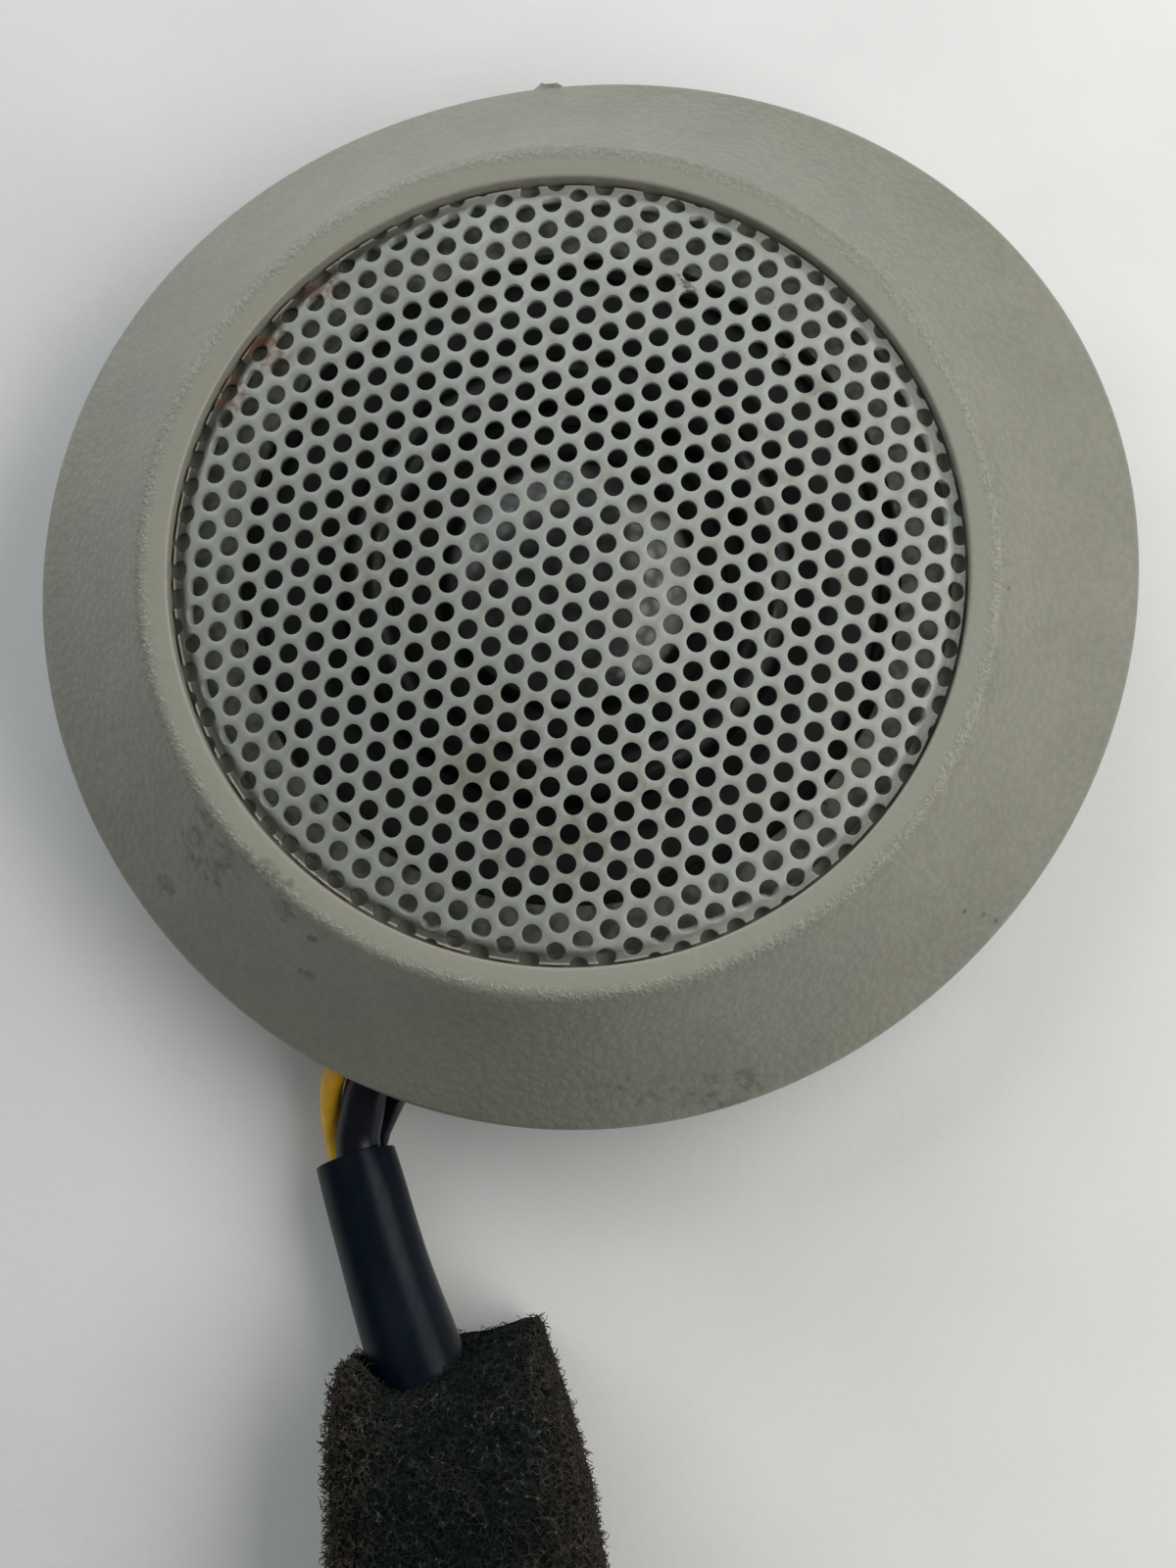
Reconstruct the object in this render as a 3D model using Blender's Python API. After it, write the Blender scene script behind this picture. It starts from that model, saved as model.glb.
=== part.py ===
"""Trim-mounted round loudspeaker with a grained bezel, a perforated grille and a wiring pigtail.

Units are metres. +Z runs along the loudspeaker's axis towards the listener, the yoke's back face
lies on z = 0, and the leads leave towards -Y.
"""

import math

import bmesh
import bpy
from mathutils import Matrix, Vector
from mathutils.geometry import delaunay_2d_cdt

# Clearances
SEAT_CLEARANCE = 0.0003
SCREW_CLEARANCE = 0.0004
BOND_CLEARANCE = 0.0001

# Motor
YOKE_RADIUS = 0.0185
YOKE_THICKNESS = 0.0030
YOKE_CHAMFER = 0.0006
POLE_RADIUS = 0.0070
MAGNET_RADIUS = 0.0200
MAGNET_THICKNESS = 0.0060
MAGNET_BORE_STEP = 0.0022
TOP_PLATE_RADIUS = 0.0185
TOP_PLATE_THICKNESS = 0.0030

# Voice coil
POLE_GAP = 0.0005
FORMER_WALL = 0.0003
FORMER_TAIL = 0.0012
FORMER_COLLAR = 0.0006
WINDING_WALL = 0.0006
WINDING_LENGTH = 0.0050
WINDING_GAP = 0.0006

# Basket
BASKET_DEPTH = 0.0071
BASKET_WALL = 0.0015
BASKET_SIDE_WALL = 0.0012
BASKET_BORE_STEP = 0.0008
BASKET_FLOOR_RADIUS = 0.0213
FLANGE_LAND = 0.0027
WINDOW_WIDTH = 0.0140
WINDOW_COUNT = 4
WINDOW_MARGIN = 0.0006

# Diaphragm and its suspensions
CONE_RADIUS = 0.0184
CONE_EDGE_WIDTH = 0.0019
CONE_WALL = 0.0005
CONE_NECK_LIFT = 0.0007
CAP_OVERLAP = 0.0059
CAP_HEIGHT = 0.0042
CAP_WALL = 0.0005
ROLL_RADIUS = 0.0030
ROLL_WALL = 0.0005
ROLL_LIP = 0.0031
SPIDER_WALL = 0.0003
SPIDER_WAVE = 0.0005
SPIDER_WAVES = 6

# Driver seat on the bezel
OPENING_RADIUS = 0.0325
GASKET_INSET = 0.0005
GASKET_WIDTH = 0.0035
GASKET_THICKNESS = 0.0008
LEDGE_THICKNESS = 0.0020
BOSS_RADIUS = 0.0025
SCREW_COUNT = 4
SCREW_RADIUS = 0.0012
SCREW_HEAD_RADIUS = 0.0023
SCREW_HEAD_HEIGHT = 0.0013
SCREW_TIP_COVER = 0.0007

# Grille
GRILLE_RADIUS = 0.0411
GRILLE_WALL = 0.0008
GRILLE_DEPTH = 0.0045
DOME_RISE = 0.0029
EDGE_ROLL = 0.0013
GRILLE_FLANGE = 0.0007
HOLE_RADIUS = 0.0010
HOLE_PITCH = 0.0030
HOLE_ROW_ANGLE = math.radians(22.2)
HOLE_FIRST_X = 0.00095
HOLE_FIRST_Y = -0.00226

# Bezel
GROOVE_GAP = 0.0003
GROOVE_WALL = 0.0020
SEAT_WIDTH = 0.0015
LIP_DROP = 0.0007
LIP_ROUND = 0.0008
BAND_WIDTH = 0.0027
CREST_RISE = 0.0010
CREST_ROUND = 0.0009
SLOPE_WIDTH = 0.0144
SLOPE_FLARE = 0.25
RIM_DROP = 0.0142
RIM_LIP = 0.0012
RIM_LAND = 0.0020
SHELL_WALL = 0.0028
RIM_SHIFT = 0.0017
RIM_SHIFT_ANGLE = math.radians(6)
RIM_OVAL = 0.0013
RIM_OVAL_ANGLE = math.radians(19)
RIM_LOBE = 0.0007
RIM_LOBE_ANGLE = math.radians(31)
POST_RADIUS = 0.0030
POST_PILOT_RADIUS = 0.0012
POST_PILOT_DEPTH = 0.0060
POST_OFFSET = 0.0019
POST_COUNT = 3
POST_FIRST_ANGLE = math.radians(52)

# Terminals
EXIT_ANGLE = math.radians(-113)
BOARD_WIDTH = 0.0150
BOARD_LENGTH = 0.0100
BOARD_THICKNESS = 0.0012
BOARD_INSET = 0.0010
TAB_PITCH = 0.0039
TAB_WIDTH = 0.0024
TAB_LENGTH = 0.0085
TAB_THICKNESS = 0.0005
TAB_REACH = 0.0040
RIVET_RADIUS = 0.0009
RIVET_HEAD_RADIUS = 0.0016
RIVET_HEAD_HEIGHT = 0.0006
RIVET_INSET = 0.0020
RIVET_SPACING = 0.0070
TINSEL_RADIUS = 0.0004
TINSEL_SPREAD = 0.0030

# Pigtail
YELLOW_RADIUS = 0.0011
WIDE_RADIUS = 0.0022
THIN_RADIUS = 0.0012
SLEEVE_RADIUS = 0.0049
SLEEVE_WALL = 0.0007
FOAM_CENTRE_X = -0.0120
FOAM_CORNER_POWER = 4.0
CONNECTOR_WIDTH = 0.0150
CONNECTOR_HEIGHT = 0.0085
CONNECTOR_LENGTH = 0.0240
CONNECTOR_REAR_Y = -0.1000
CONNECTOR_CENTRE_Z = 0.0110
CONNECTOR_BEVEL = 0.0008
LATCH_WIDTH = 0.0050
LATCH_HEIGHT = 0.0014
LATCH_LENGTH = 0.0130
CONTACT_PITCH = 0.0042
CONTACT_WIDTH = 0.0022
CONTACT_HEIGHT = 0.0010
CONTACT_LENGTH = 0.0200

# Facets
SEGMENTS = 20
BASKET_SEGMENTS = 24
BEZEL_SEGMENTS = 56
GRILLE_SEGMENTS = 48
BOSS_SEGMENTS = 10
SMALL_SEGMENTS = 8
ARC_STEPS = 4
HOLE_SIDES = 4
SMOOTH_ANGLE = math.radians(35)

# Heights of the stack, from the yoke's back face up
MAGNET_Z = YOKE_THICKNESS + SEAT_CLEARANCE
TOP_PLATE_Z = MAGNET_Z + MAGNET_THICKNESS + SEAT_CLEARANCE
POLE_TOP_Z = TOP_PLATE_Z + TOP_PLATE_THICKNESS
BASKET_Z = POLE_TOP_Z + SEAT_CLEARANCE
BASKET_FLOOR_Z = BASKET_Z + BASKET_WALL
FLANGE_TOP_Z = BASKET_Z + BASKET_DEPTH
FLANGE_Z = FLANGE_TOP_Z - BASKET_WALL
GASKET_Z = FLANGE_TOP_Z + SEAT_CLEARANCE
LEDGE_Z = GASKET_Z + GASKET_THICKNESS + SEAT_CLEARANCE
LEDGE_TOP_Z = LEDGE_Z + LEDGE_THICKNESS
GRILLE_EDGE_Z = LEDGE_TOP_Z + GRILLE_DEPTH
GRILLE_FLANGE_Z = GRILLE_EDGE_Z - EDGE_ROLL
GRILLE_SEAT_Z = GRILLE_FLANGE_Z - GRILLE_WALL - SEAT_CLEARANCE
CREST_Z = GRILLE_EDGE_Z + CREST_RISE
RIM_Z = GRILLE_EDGE_Z - RIM_DROP
RIM_TOP_Z = RIM_Z + RIM_LIP
SHOULDER_Z = CREST_Z - CREST_ROUND / 2
SPIDER_Z = BASKET_FLOOR_Z + SEAT_CLEARANCE
CONE_NECK_Z = SPIDER_Z + SPIDER_WAVE + SPIDER_WALL + CONE_NECK_LIFT
CONE_EDGE_Z = FLANGE_TOP_Z - CONE_WALL

# Radii that follow from the fits
FORMER_IN = POLE_RADIUS + POLE_GAP
FORMER_OUT = FORMER_IN + FORMER_WALL
WINDING_IN = FORMER_OUT + BOND_CLEARANCE
WINDING_OUT = WINDING_IN + WINDING_WALL
TOP_PLATE_BORE = WINDING_OUT + WINDING_GAP
MAGNET_BORE = TOP_PLATE_BORE + MAGNET_BORE_STEP
BASKET_BORE = TOP_PLATE_BORE + BASKET_BORE_STEP
NECK_RADIUS = FORMER_OUT + SEAT_CLEARANCE
ROLL_CENTRE = CONE_RADIUS + ROLL_RADIUS
ROLL_OUT = ROLL_CENTRE + ROLL_RADIUS
BASKET_MOUTH = ROLL_OUT + SEAT_CLEARANCE
GASKET_IN = OPENING_RADIUS + GASKET_INSET
GASKET_OUT = GASKET_IN + GASKET_WIDTH
SCREW_CIRCLE = GASKET_OUT + SEAT_CLEARANCE + BOSS_RADIUS
FLANGE_RADIUS = SCREW_CIRCLE + FLANGE_LAND
DOME_RADIUS = GRILLE_RADIUS - GRILLE_FLANGE - EDGE_ROLL
GROOVE_RADIUS = GRILLE_RADIUS + GROOVE_GAP
GRILLE_SEAT_IN = GROOVE_RADIUS - SEAT_WIDTH
CREST_RADIUS = GROOVE_RADIUS + BAND_WIDTH
SHOULDER_RADIUS = CREST_RADIUS + CREST_ROUND
POST_CIRCLE = GROOVE_RADIUS + GROOVE_WALL + POST_OFFSET + POST_RADIUS

# Route of the pigtail: the sleeve's centre line, and each lead from its tab to its contact
SLEEVE_ROUTE = (
    (-0.0241, -0.0611, 0.0052),
    (-0.0202, -0.0745, 0.0072),
    (-0.0150, -0.0881, 0.0105),
)
YELLOW_ROUTE = (
    (-0.02132, -0.04010, 0.01645),
    (-0.02305, -0.04452, 0.01539),
    (-0.02539, -0.05040, 0.01127),
    (-0.02686, -0.05431, 0.00733),
    (-0.02614, -0.06170, 0.00374),
    (-0.02156, -0.07579, 0.00552),
    (-0.01684, -0.08936, 0.00903),
    (-0.01656, -0.09454, 0.01053),
    (-0.01620, -0.09970, 0.01100),
)
WIDE_ROUTE = (
    (-0.01768, -0.04165, 0.01645),
    (-0.01937, -0.04587, 0.01472),
    (-0.02217, -0.05193, 0.01004),
    (-0.02331, -0.05574, 0.00813),
    (-0.02386, -0.06110, 0.00665),
    (-0.02071, -0.07394, 0.00863),
    (-0.01504, -0.08799, 0.01208),
    (-0.01270, -0.09452, 0.01182),
    (-0.01200, -0.09940, 0.01110),
)
THIN_ROUTE = (
    (-0.01406, -0.04319, 0.01645),
    (-0.01574, -0.04703, 0.01469),
    (-0.01794, -0.05189, 0.01009),
    (-0.02073, -0.05561, 0.00509),
    (-0.02242, -0.06151, 0.00317),
    (-0.01850, -0.07423, 0.00515),
    (-0.01295, -0.08769, 0.00897),
    (-0.00842, -0.09443, 0.01028),
    (-0.00780, -0.09970, 0.01100),
)
# Foam sections from the sleeve's end to the far end: y, centre x, width, height, slant of the cut
FOAM_SECTIONS = (
    (-0.0795, -0.01430, 0.0204, 0.0170, 0.27),
    (-0.0820, -0.01435, 0.0219, 0.0200, 0.25),
    (-0.0880, -0.01365, 0.0253, 0.0220, 0.14),
    (-0.0950, -0.01235, 0.0273, 0.0225, 0.05),
    (-0.1040, -0.01140, 0.0290, 0.0225, 0.0),
    (-0.1210, -0.01160, 0.0296, 0.0225, 0.0),
    (-0.1260, -0.01160, 0.0270, 0.0205, 0.0),
)
FOAM_SECTION_POINTS = 16


def clear_scene():
    """Removes whatever the file opened with."""
    for old in list(bpy.data.objects):
        bpy.data.objects.remove(old, do_unlink=True)


def material(name, colour, roughness, metallic=0.0):
    """A Principled material in the piece's own colour."""
    made = bpy.data.materials.new(name)
    made.use_nodes = True
    shader = made.node_tree.nodes["Principled BSDF"]
    shader.inputs["Base Color"].default_value = (*colour, 1.0)
    shader.inputs["Roughness"].default_value = roughness
    shader.inputs["Metallic"].default_value = metallic
    return made


def axis_empty(name):
    """An empty on the loudspeaker's axis, which the pieces hang from."""
    empty = bpy.data.objects.new(name, None)
    bpy.context.scene.collection.objects.link(empty)
    return empty


def finished(name, bm, finish, parent=None, smooth=True):
    """Links a bmesh to the scene as a named piece with outward faces."""
    bmesh.ops.recalc_face_normals(bm, faces=bm.faces)
    mesh = bpy.data.meshes.new(name)
    bm.to_mesh(mesh)
    bm.free()
    if smooth:
        mesh.shade_smooth()
        mesh.set_sharp_from_angle(angle=SMOOTH_ANGLE)
    piece = bpy.data.objects.new(name, mesh)
    bpy.context.scene.collection.objects.link(piece)
    if finish:
        mesh.materials.append(finish)
    piece.parent = parent
    return piece


def copies(name, bm, finish, parent, places, smooth=True):
    """Repeats one mesh as separate pieces, each moved or turned to its own place."""
    first = finished(f"{name}_1", bm, finish, parent, smooth)
    first.matrix_local = places[0]
    for number, place in enumerate(places[1:], 2):
        piece = bpy.data.objects.new(f"{name}_{number}", first.data)
        bpy.context.scene.collection.objects.link(piece)
        piece.parent = parent
        piece.matrix_local = place


def cutter(name, bm):
    """A helper solid for a Boolean, kept out of renders."""
    helper = finished(name, bm, None, smooth=False)
    helper.hide_render = True
    helper.display_type = "WIRE"
    return helper


def boolean(piece, helper, operation):
    """Joins a helper to a piece, or cuts it away."""
    modifier = piece.modifiers.new(helper.name, "BOOLEAN")
    modifier.operation = operation
    modifier.solver = "EXACT"
    modifier.object = helper


def spin_profile(bm, profile, segments, closed=True):
    """Turns a profile of (radius, height) points about the Z axis."""
    points = [bm.verts.new((radius, 0.0, height)) for radius, height in profile]
    pairs = list(zip(points, points[1:]))
    if closed:
        pairs.append((points[-1], points[0]))
    edges = [bm.edges.new(pair) for pair in pairs]
    bmesh.ops.spin(
        bm,
        geom=points + edges,
        cent=(0, 0, 0),
        axis=(0, 0, 1),
        angle=math.tau,
        steps=segments,
        use_merge=True,
    )
    bmesh.ops.remove_doubles(bm, verts=bm.verts, dist=1e-6)


def turned(name, profile, finish, parent, segments=SEGMENTS, closed=True):
    """A turned piece. An open profile runs from the axis round to the axis."""
    bm = bmesh.new()
    spin_profile(bm, profile, segments, closed)
    return finished(name, bm, finish, parent)


def arc(centre_r, centre_z, radius, start, end, steps=ARC_STEPS):
    """Points (radius, height) along an arc of a profile, both ends included."""
    angles = [start + (end - start) * step / steps for step in range(steps + 1)]
    return [
        (centre_r + radius * math.cos(angle), centre_z + radius * math.sin(angle))
        for angle in angles
    ]


def ring_profile(inner, outer, low, high):
    """The square section of a flat ring."""
    return [(inner, high), (outer, high), (outer, low), (inner, low)]


def add_cylinder(bm, centre, radius, low, high, segments):
    """Adds an upright cylinder at a point (x, y) of the plan, and returns its vertices."""
    place = Matrix.Translation((centre[0], centre[1], (low + high) / 2))
    made = bmesh.ops.create_cone(
        bm,
        cap_ends=True,
        segments=segments,
        radius1=radius,
        radius2=radius,
        depth=high - low,
        matrix=place,
    )
    return made["verts"]


def add_box(bm, centre, size, turn=0.0):
    """Adds a box, turned about the Z axis through the part's origin, and returns its vertices."""
    place = Matrix.Rotation(turn, 4, "Z") @ Matrix.Translation(centre) @ Matrix.Diagonal((*size, 1.0))
    return bmesh.ops.create_cube(bm, size=1.0, matrix=place)["verts"]


def polar(radius, angle):
    """A point (x, y) of the plan."""
    return (radius * math.cos(angle), radius * math.sin(angle))


def spaced_angles(count, first):
    """Angles of a pattern round the axis."""
    return [first + math.tau * index / count for index in range(count)]


def add_loft(bm, rings, closed):
    """Skins rings of points with quads. A closed loft joins its last ring to its first."""
    loops = [[bm.verts.new(point) for point in ring] for ring in rings]
    pairs = list(zip(loops, loops[1:]))
    if closed:
        pairs.append((loops[-1], loops[0]))
    for lower, upper in pairs:
        count = len(lower)
        for index in range(count):
            after = (index + 1) % count
            bm.faces.new((lower[index], lower[after], upper[after], upper[index]))
    return loops


def smooth_points(route, spacing):
    """Points about one spacing apart on a smooth curve through a route's own points."""
    points = [Vector(point) for point in route]
    padded = [2 * points[0] - points[1], *points, 2 * points[-1] - points[-2]]
    made = []
    for before, start, end, after in zip(padded, padded[1:], padded[2:], padded[3:]):
        steps = max(1, round((end - start).length / spacing))
        for step in range(steps):
            t = step / steps
            made.append(
                0.5
                * (
                    2 * start
                    + (end - before) * t
                    + (2 * before - 5 * start + 4 * end - after) * t**2
                    + (3 * start - before - 3 * end + after) * t**3
                )
            )
    made.append(points[-1])
    return made


def cord(name, route, radius, finish):
    """A solid round lead along a route."""
    points = smooth_points(route, 5 * radius)
    curve = bpy.data.curves.new(name, "CURVE")
    curve.dimensions = "3D"
    curve.bevel_depth = radius
    curve.bevel_resolution = 2
    curve.use_fill_caps = True
    spline = curve.splines.new("POLY")
    spline.points.add(len(points) - 1)
    for target, point in zip(spline.points, points):
        target.co = (*point, 1.0)
    spline.use_smooth = True
    curve.materials.append(finish)
    lead = bpy.data.objects.new(name, curve)
    bpy.context.scene.collection.objects.link(lead)
    return lead


def rim_radius(angle):
    """Radius of the bezel's egg-shaped outline."""
    shift = RIM_SHIFT * math.cos(angle - RIM_SHIFT_ANGLE)
    oval = RIM_OVAL * math.cos(2 * (angle - RIM_OVAL_ANGLE))
    lobe = RIM_LOBE * math.cos(3 * (angle - RIM_LOBE_ANGLE))
    return CREST_RADIUS + SLOPE_WIDTH + shift + oval + lobe


def slope_height(share):
    """Height of the bezel's slope at a share of the way from its shoulder to its rim."""
    fall = share + SLOPE_FLARE * share * (1 - share)
    return SHOULDER_Z - (SHOULDER_Z - RIM_TOP_Z) * fall


def shell_middle(x, y):
    """Height of the middle of the bezel's sloping wall over a point of the plan."""
    reach = rim_radius(math.atan2(y, x)) - SHOULDER_RADIUS
    return slope_height((math.hypot(x, y) - SHOULDER_RADIUS) / reach) - SHELL_WALL / 2


def add_post(bm, angle):
    """Adds a panel post that stands on the rim's plane and ends, slanted, inside the shell's wall."""
    foot = RIM_Z
    verts = add_cylinder(bm, polar(POST_CIRCLE, angle), POST_RADIUS, foot, foot + POST_RADIUS, BOSS_SEGMENTS)
    for vert in verts:
        if vert.co.z > foot + POST_RADIUS / 2:
            vert.co.z = shell_middle(vert.co.x, vert.co.y)
    bmesh.ops.triangulate(bm, faces=[face for face in bm.faces if len(face.verts) > 4])


def slope_ring(share, height, inset=0.0):
    """A ring of the bezel between its round shoulder and its rim outline."""
    ring = []
    for angle in spaced_angles(BEZEL_SEGMENTS, 0.0):
        radius = SHOULDER_RADIUS + (rim_radius(angle) - SHOULDER_RADIUS) * share - inset
        ring.append((*polar(radius, angle), height))
    return ring


def round_ring(radius, height, segments=BEZEL_SEGMENTS):
    """A plain round ring of points."""
    return [(*polar(radius, angle), height) for angle in spaced_angles(segments, 0.0)]


def trim_bezel(finish, parent):
    """Shell from the crest to the rim, with the grille's seat, the driver's ledge and its bosses."""
    pocket_top = slope_height(SHELL_WALL / SLOPE_WIDTH) - SHELL_WALL / 2
    tube_out = GROOVE_RADIUS + GROOVE_WALL
    rings = [
        slope_ring(1.0, RIM_TOP_Z),
        slope_ring(1.0, RIM_Z),
        slope_ring(1.0, RIM_Z, RIM_LAND),
        slope_ring(0.6, slope_height(0.6), SHELL_WALL),
        round_ring(tube_out + SHELL_WALL / 4, pocket_top),
        round_ring(tube_out, pocket_top - SHELL_WALL / 4),
        round_ring(tube_out, LEDGE_Z),
        round_ring(OPENING_RADIUS, LEDGE_Z),
        round_ring(OPENING_RADIUS, LEDGE_TOP_Z),
        round_ring(GRILLE_SEAT_IN, LEDGE_TOP_Z),
        round_ring(GRILLE_SEAT_IN, GRILLE_SEAT_Z),
        round_ring(GROOVE_RADIUS, GRILLE_SEAT_Z),
        round_ring(GROOVE_RADIUS, CREST_Z - LIP_DROP),
        round_ring(GROOVE_RADIUS + LIP_ROUND, CREST_Z - LIP_DROP / 8),
        round_ring(CREST_RADIUS, CREST_Z),
        slope_ring(0.0, SHOULDER_Z),
        slope_ring(0.35, slope_height(0.35)),
        slope_ring(0.7, slope_height(0.7)),
    ]
    bm = bmesh.new()
    add_loft(bm, rings, closed=True)
    bezel = finished("trim_bezel", bm, finish, parent)

    bosses = bmesh.new()
    pilots = bmesh.new()
    boss_foot = FLANGE_TOP_Z + SEAT_CLEARANCE
    for angle in screw_angles():
        centre = polar(SCREW_CIRCLE, angle)
        add_cylinder(bosses, centre, BOSS_RADIUS, boss_foot, LEDGE_Z + LEDGE_THICKNESS / 4, BOSS_SEGMENTS)
        pilot_top = screw_tip_height() + SEAT_CLEARANCE
        pilot_radius = SCREW_RADIUS + SEAT_CLEARANCE
        add_cylinder(pilots, centre, pilot_radius, FLANGE_TOP_Z, pilot_top, SMALL_SEGMENTS)
    for angle in spaced_angles(POST_COUNT, POST_FIRST_ANGLE):
        add_post(bosses, angle)
        centre = polar(POST_CIRCLE, angle)
        pilot_foot = RIM_Z - SEAT_CLEARANCE
        pilot_end = RIM_Z + POST_PILOT_DEPTH
        add_cylinder(pilots, centre, POST_PILOT_RADIUS, pilot_foot, pilot_end, SMALL_SEGMENTS)
    boolean(bezel, cutter("bezel_bosses", bosses), "UNION")
    boolean(bezel, cutter("bezel_pilots", pilots), "DIFFERENCE")
    return bezel


def hole_centres(field_radius):
    """Centres of the staggered holes that lie wholly inside the field."""
    along = Vector((math.cos(HOLE_ROW_ANGLE), math.sin(HOLE_ROW_ANGLE))) * HOLE_PITCH
    across_angle = HOLE_ROW_ANGLE + math.radians(60)
    across = Vector((math.cos(across_angle), math.sin(across_angle))) * HOLE_PITCH
    first = Vector((HOLE_FIRST_X, HOLE_FIRST_Y))
    reach = math.ceil(2 * field_radius / HOLE_PITCH)
    steps = range(-reach, reach + 1)
    centres = [first + column * along + row * across for row in steps for column in steps]
    return [centre for centre in centres if centre.length + HOLE_RADIUS <= field_radius]


def dome_height(radius):
    """Height of the grille's domed face."""
    return GRILLE_EDGE_Z + DOME_RISE * (1 - (radius / DOME_RADIUS) ** 2)


def grille(finish, parent):
    """Perforated domed sheet with a rolled edge and a narrow flange. Its holes lie over the sound opening."""
    corner_radius = HOLE_RADIUS * math.sqrt(math.pi / (HOLE_SIDES / 2 * math.sin(math.tau / HOLE_SIDES)))
    corner_angles = spaced_angles(HOLE_SIDES, HOLE_ROW_ANGLE + math.pi / HOLE_SIDES)
    field_ring = round_ring(OPENING_RADIUS + GASKET_INSET, 0.0, GRILLE_SEGMENTS)
    flat = [Vector(point[:2]) for point in field_ring]
    loops = [range(GRILLE_SEGMENTS)]
    hole_of = [None] * GRILLE_SEGMENTS
    for number, centre in enumerate(hole_centres(OPENING_RADIUS)):
        loops.append(range(len(flat), len(flat) + HOLE_SIDES))
        flat.extend(centre + Vector(polar(corner_radius, angle)) for angle in corner_angles)
        hole_of.extend([number] * HOLE_SIDES)
    borders = [(loop[i], loop[(i + 1) % len(loop)]) for loop in loops for i in range(len(loop))]
    points, _, faces, origins, _, _ = delaunay_2d_cdt(flat, borders, [], 1, 1e-7)

    bm = bmesh.new()
    verts = [bm.verts.new((*point, dome_height(point.length))) for point in points]
    owners = [hole_of[origin[0]] for origin in origins]
    for face in faces:
        held_by = {owners[index] for index in face}
        if len(held_by) > 1 or held_by == {None}:
            bm.faces.new([verts[index] for index in face])
    rim_of_field = {origin[0]: verts[index] for index, origin in enumerate(origins)}
    previous = [rim_of_field[index] for index in range(GRILLE_SEGMENTS)]
    stations = arc(DOME_RADIUS, GRILLE_FLANGE_Z, EDGE_ROLL, math.pi / 2, 0.0, 2)
    stations.append((GRILLE_RADIUS, GRILLE_FLANGE_Z))
    for radius, height in stations:
        ring = [bm.verts.new(point) for point in round_ring(radius, height, GRILLE_SEGMENTS)]
        for index in range(GRILLE_SEGMENTS):
            after = (index + 1) % GRILLE_SEGMENTS
            bm.faces.new((previous[index], ring[index], ring[after], previous[after]))
        previous = ring
    pan = finished("grille", bm, finish, parent)
    sheet = pan.modifiers.new("sheet", "SOLIDIFY")
    sheet.thickness = GRILLE_WALL
    sheet.offset = -1.0
    sheet.use_even_offset = True
    return pan


def screw_angles():
    """Angles of the driver's screws, clear of the terminals."""
    return spaced_angles(SCREW_COUNT, EXIT_ANGLE + math.pi / SCREW_COUNT)


def screw_tip_height():
    """Height of a screw's tip, under the skin that the ledge keeps over it."""
    return LEDGE_TOP_Z - SCREW_TIP_COVER


def driver_screws(finish, parent):
    """Pan-head screws from the flange's back into the bezel's bosses."""
    head_top = FLANGE_Z - SEAT_CLEARANCE
    head_foot = head_top - SCREW_HEAD_HEIGHT
    profile = [
        (0.0, screw_tip_height()),
        (SCREW_RADIUS, screw_tip_height()),
        (SCREW_RADIUS, head_top),
        (SCREW_HEAD_RADIUS, head_top),
        (SCREW_HEAD_RADIUS, head_foot + SCREW_HEAD_HEIGHT / 2),
        (SCREW_HEAD_RADIUS * 0.7, head_foot),
        (0.0, head_foot),
    ]
    bm = bmesh.new()
    spin_profile(bm, profile, SMALL_SEGMENTS, closed=False)
    places = [Matrix.Translation((*polar(SCREW_CIRCLE, angle), 0.0)) for angle in screw_angles()]
    copies("driver_screw", bm, finish, parent, places)


def basket(finish, parent):
    """Driver frame: flange, windowed side and floor that the spider stands on."""
    foot = BASKET_FLOOR_RADIUS + BASKET_SIDE_WALL
    profile = [
        (BASKET_MOUTH, FLANGE_TOP_Z),
        (FLANGE_RADIUS, FLANGE_TOP_Z),
        (FLANGE_RADIUS, FLANGE_Z),
        (BASKET_MOUTH + BASKET_SIDE_WALL, FLANGE_Z),
        (foot, BASKET_Z),
        (BASKET_BORE, BASKET_Z),
        (BASKET_BORE, BASKET_FLOOR_Z),
        (BASKET_FLOOR_RADIUS, BASKET_FLOOR_Z),
    ]
    frame = turned("basket", profile, finish, parent, BASKET_SEGMENTS)
    cuts = bmesh.new()
    low = BASKET_FLOOR_Z + WINDOW_MARGIN
    high = FLANGE_Z - WINDOW_MARGIN
    near = BASKET_FLOOR_RADIUS - ROLL_RADIUS
    far = BASKET_MOUTH + ROLL_RADIUS
    for angle in spaced_angles(WINDOW_COUNT, EXIT_ANGLE):
        centre = ((near + far) / 2, 0.0, (low + high) / 2)
        add_box(cuts, centre, (far - near, WINDOW_WIDTH, high - low), angle)
    hole_low = FLANGE_Z - BASKET_WALL
    hole_high = FLANGE_TOP_Z + BASKET_WALL
    screw_hole = SCREW_RADIUS + SCREW_CLEARANCE
    rivet_hole = RIVET_RADIUS + SEAT_CLEARANCE
    for angle in screw_angles():
        centre = polar(SCREW_CIRCLE, angle)
        add_cylinder(cuts, centre, screw_hole, hole_low, hole_high, SMALL_SEGMENTS)
    for centre in rivet_centres():
        add_cylinder(cuts, centre, rivet_hole, hole_low, hole_high, SMALL_SEGMENTS)
    boolean(frame, cutter("basket_cuts", cuts), "DIFFERENCE")
    return frame


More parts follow.
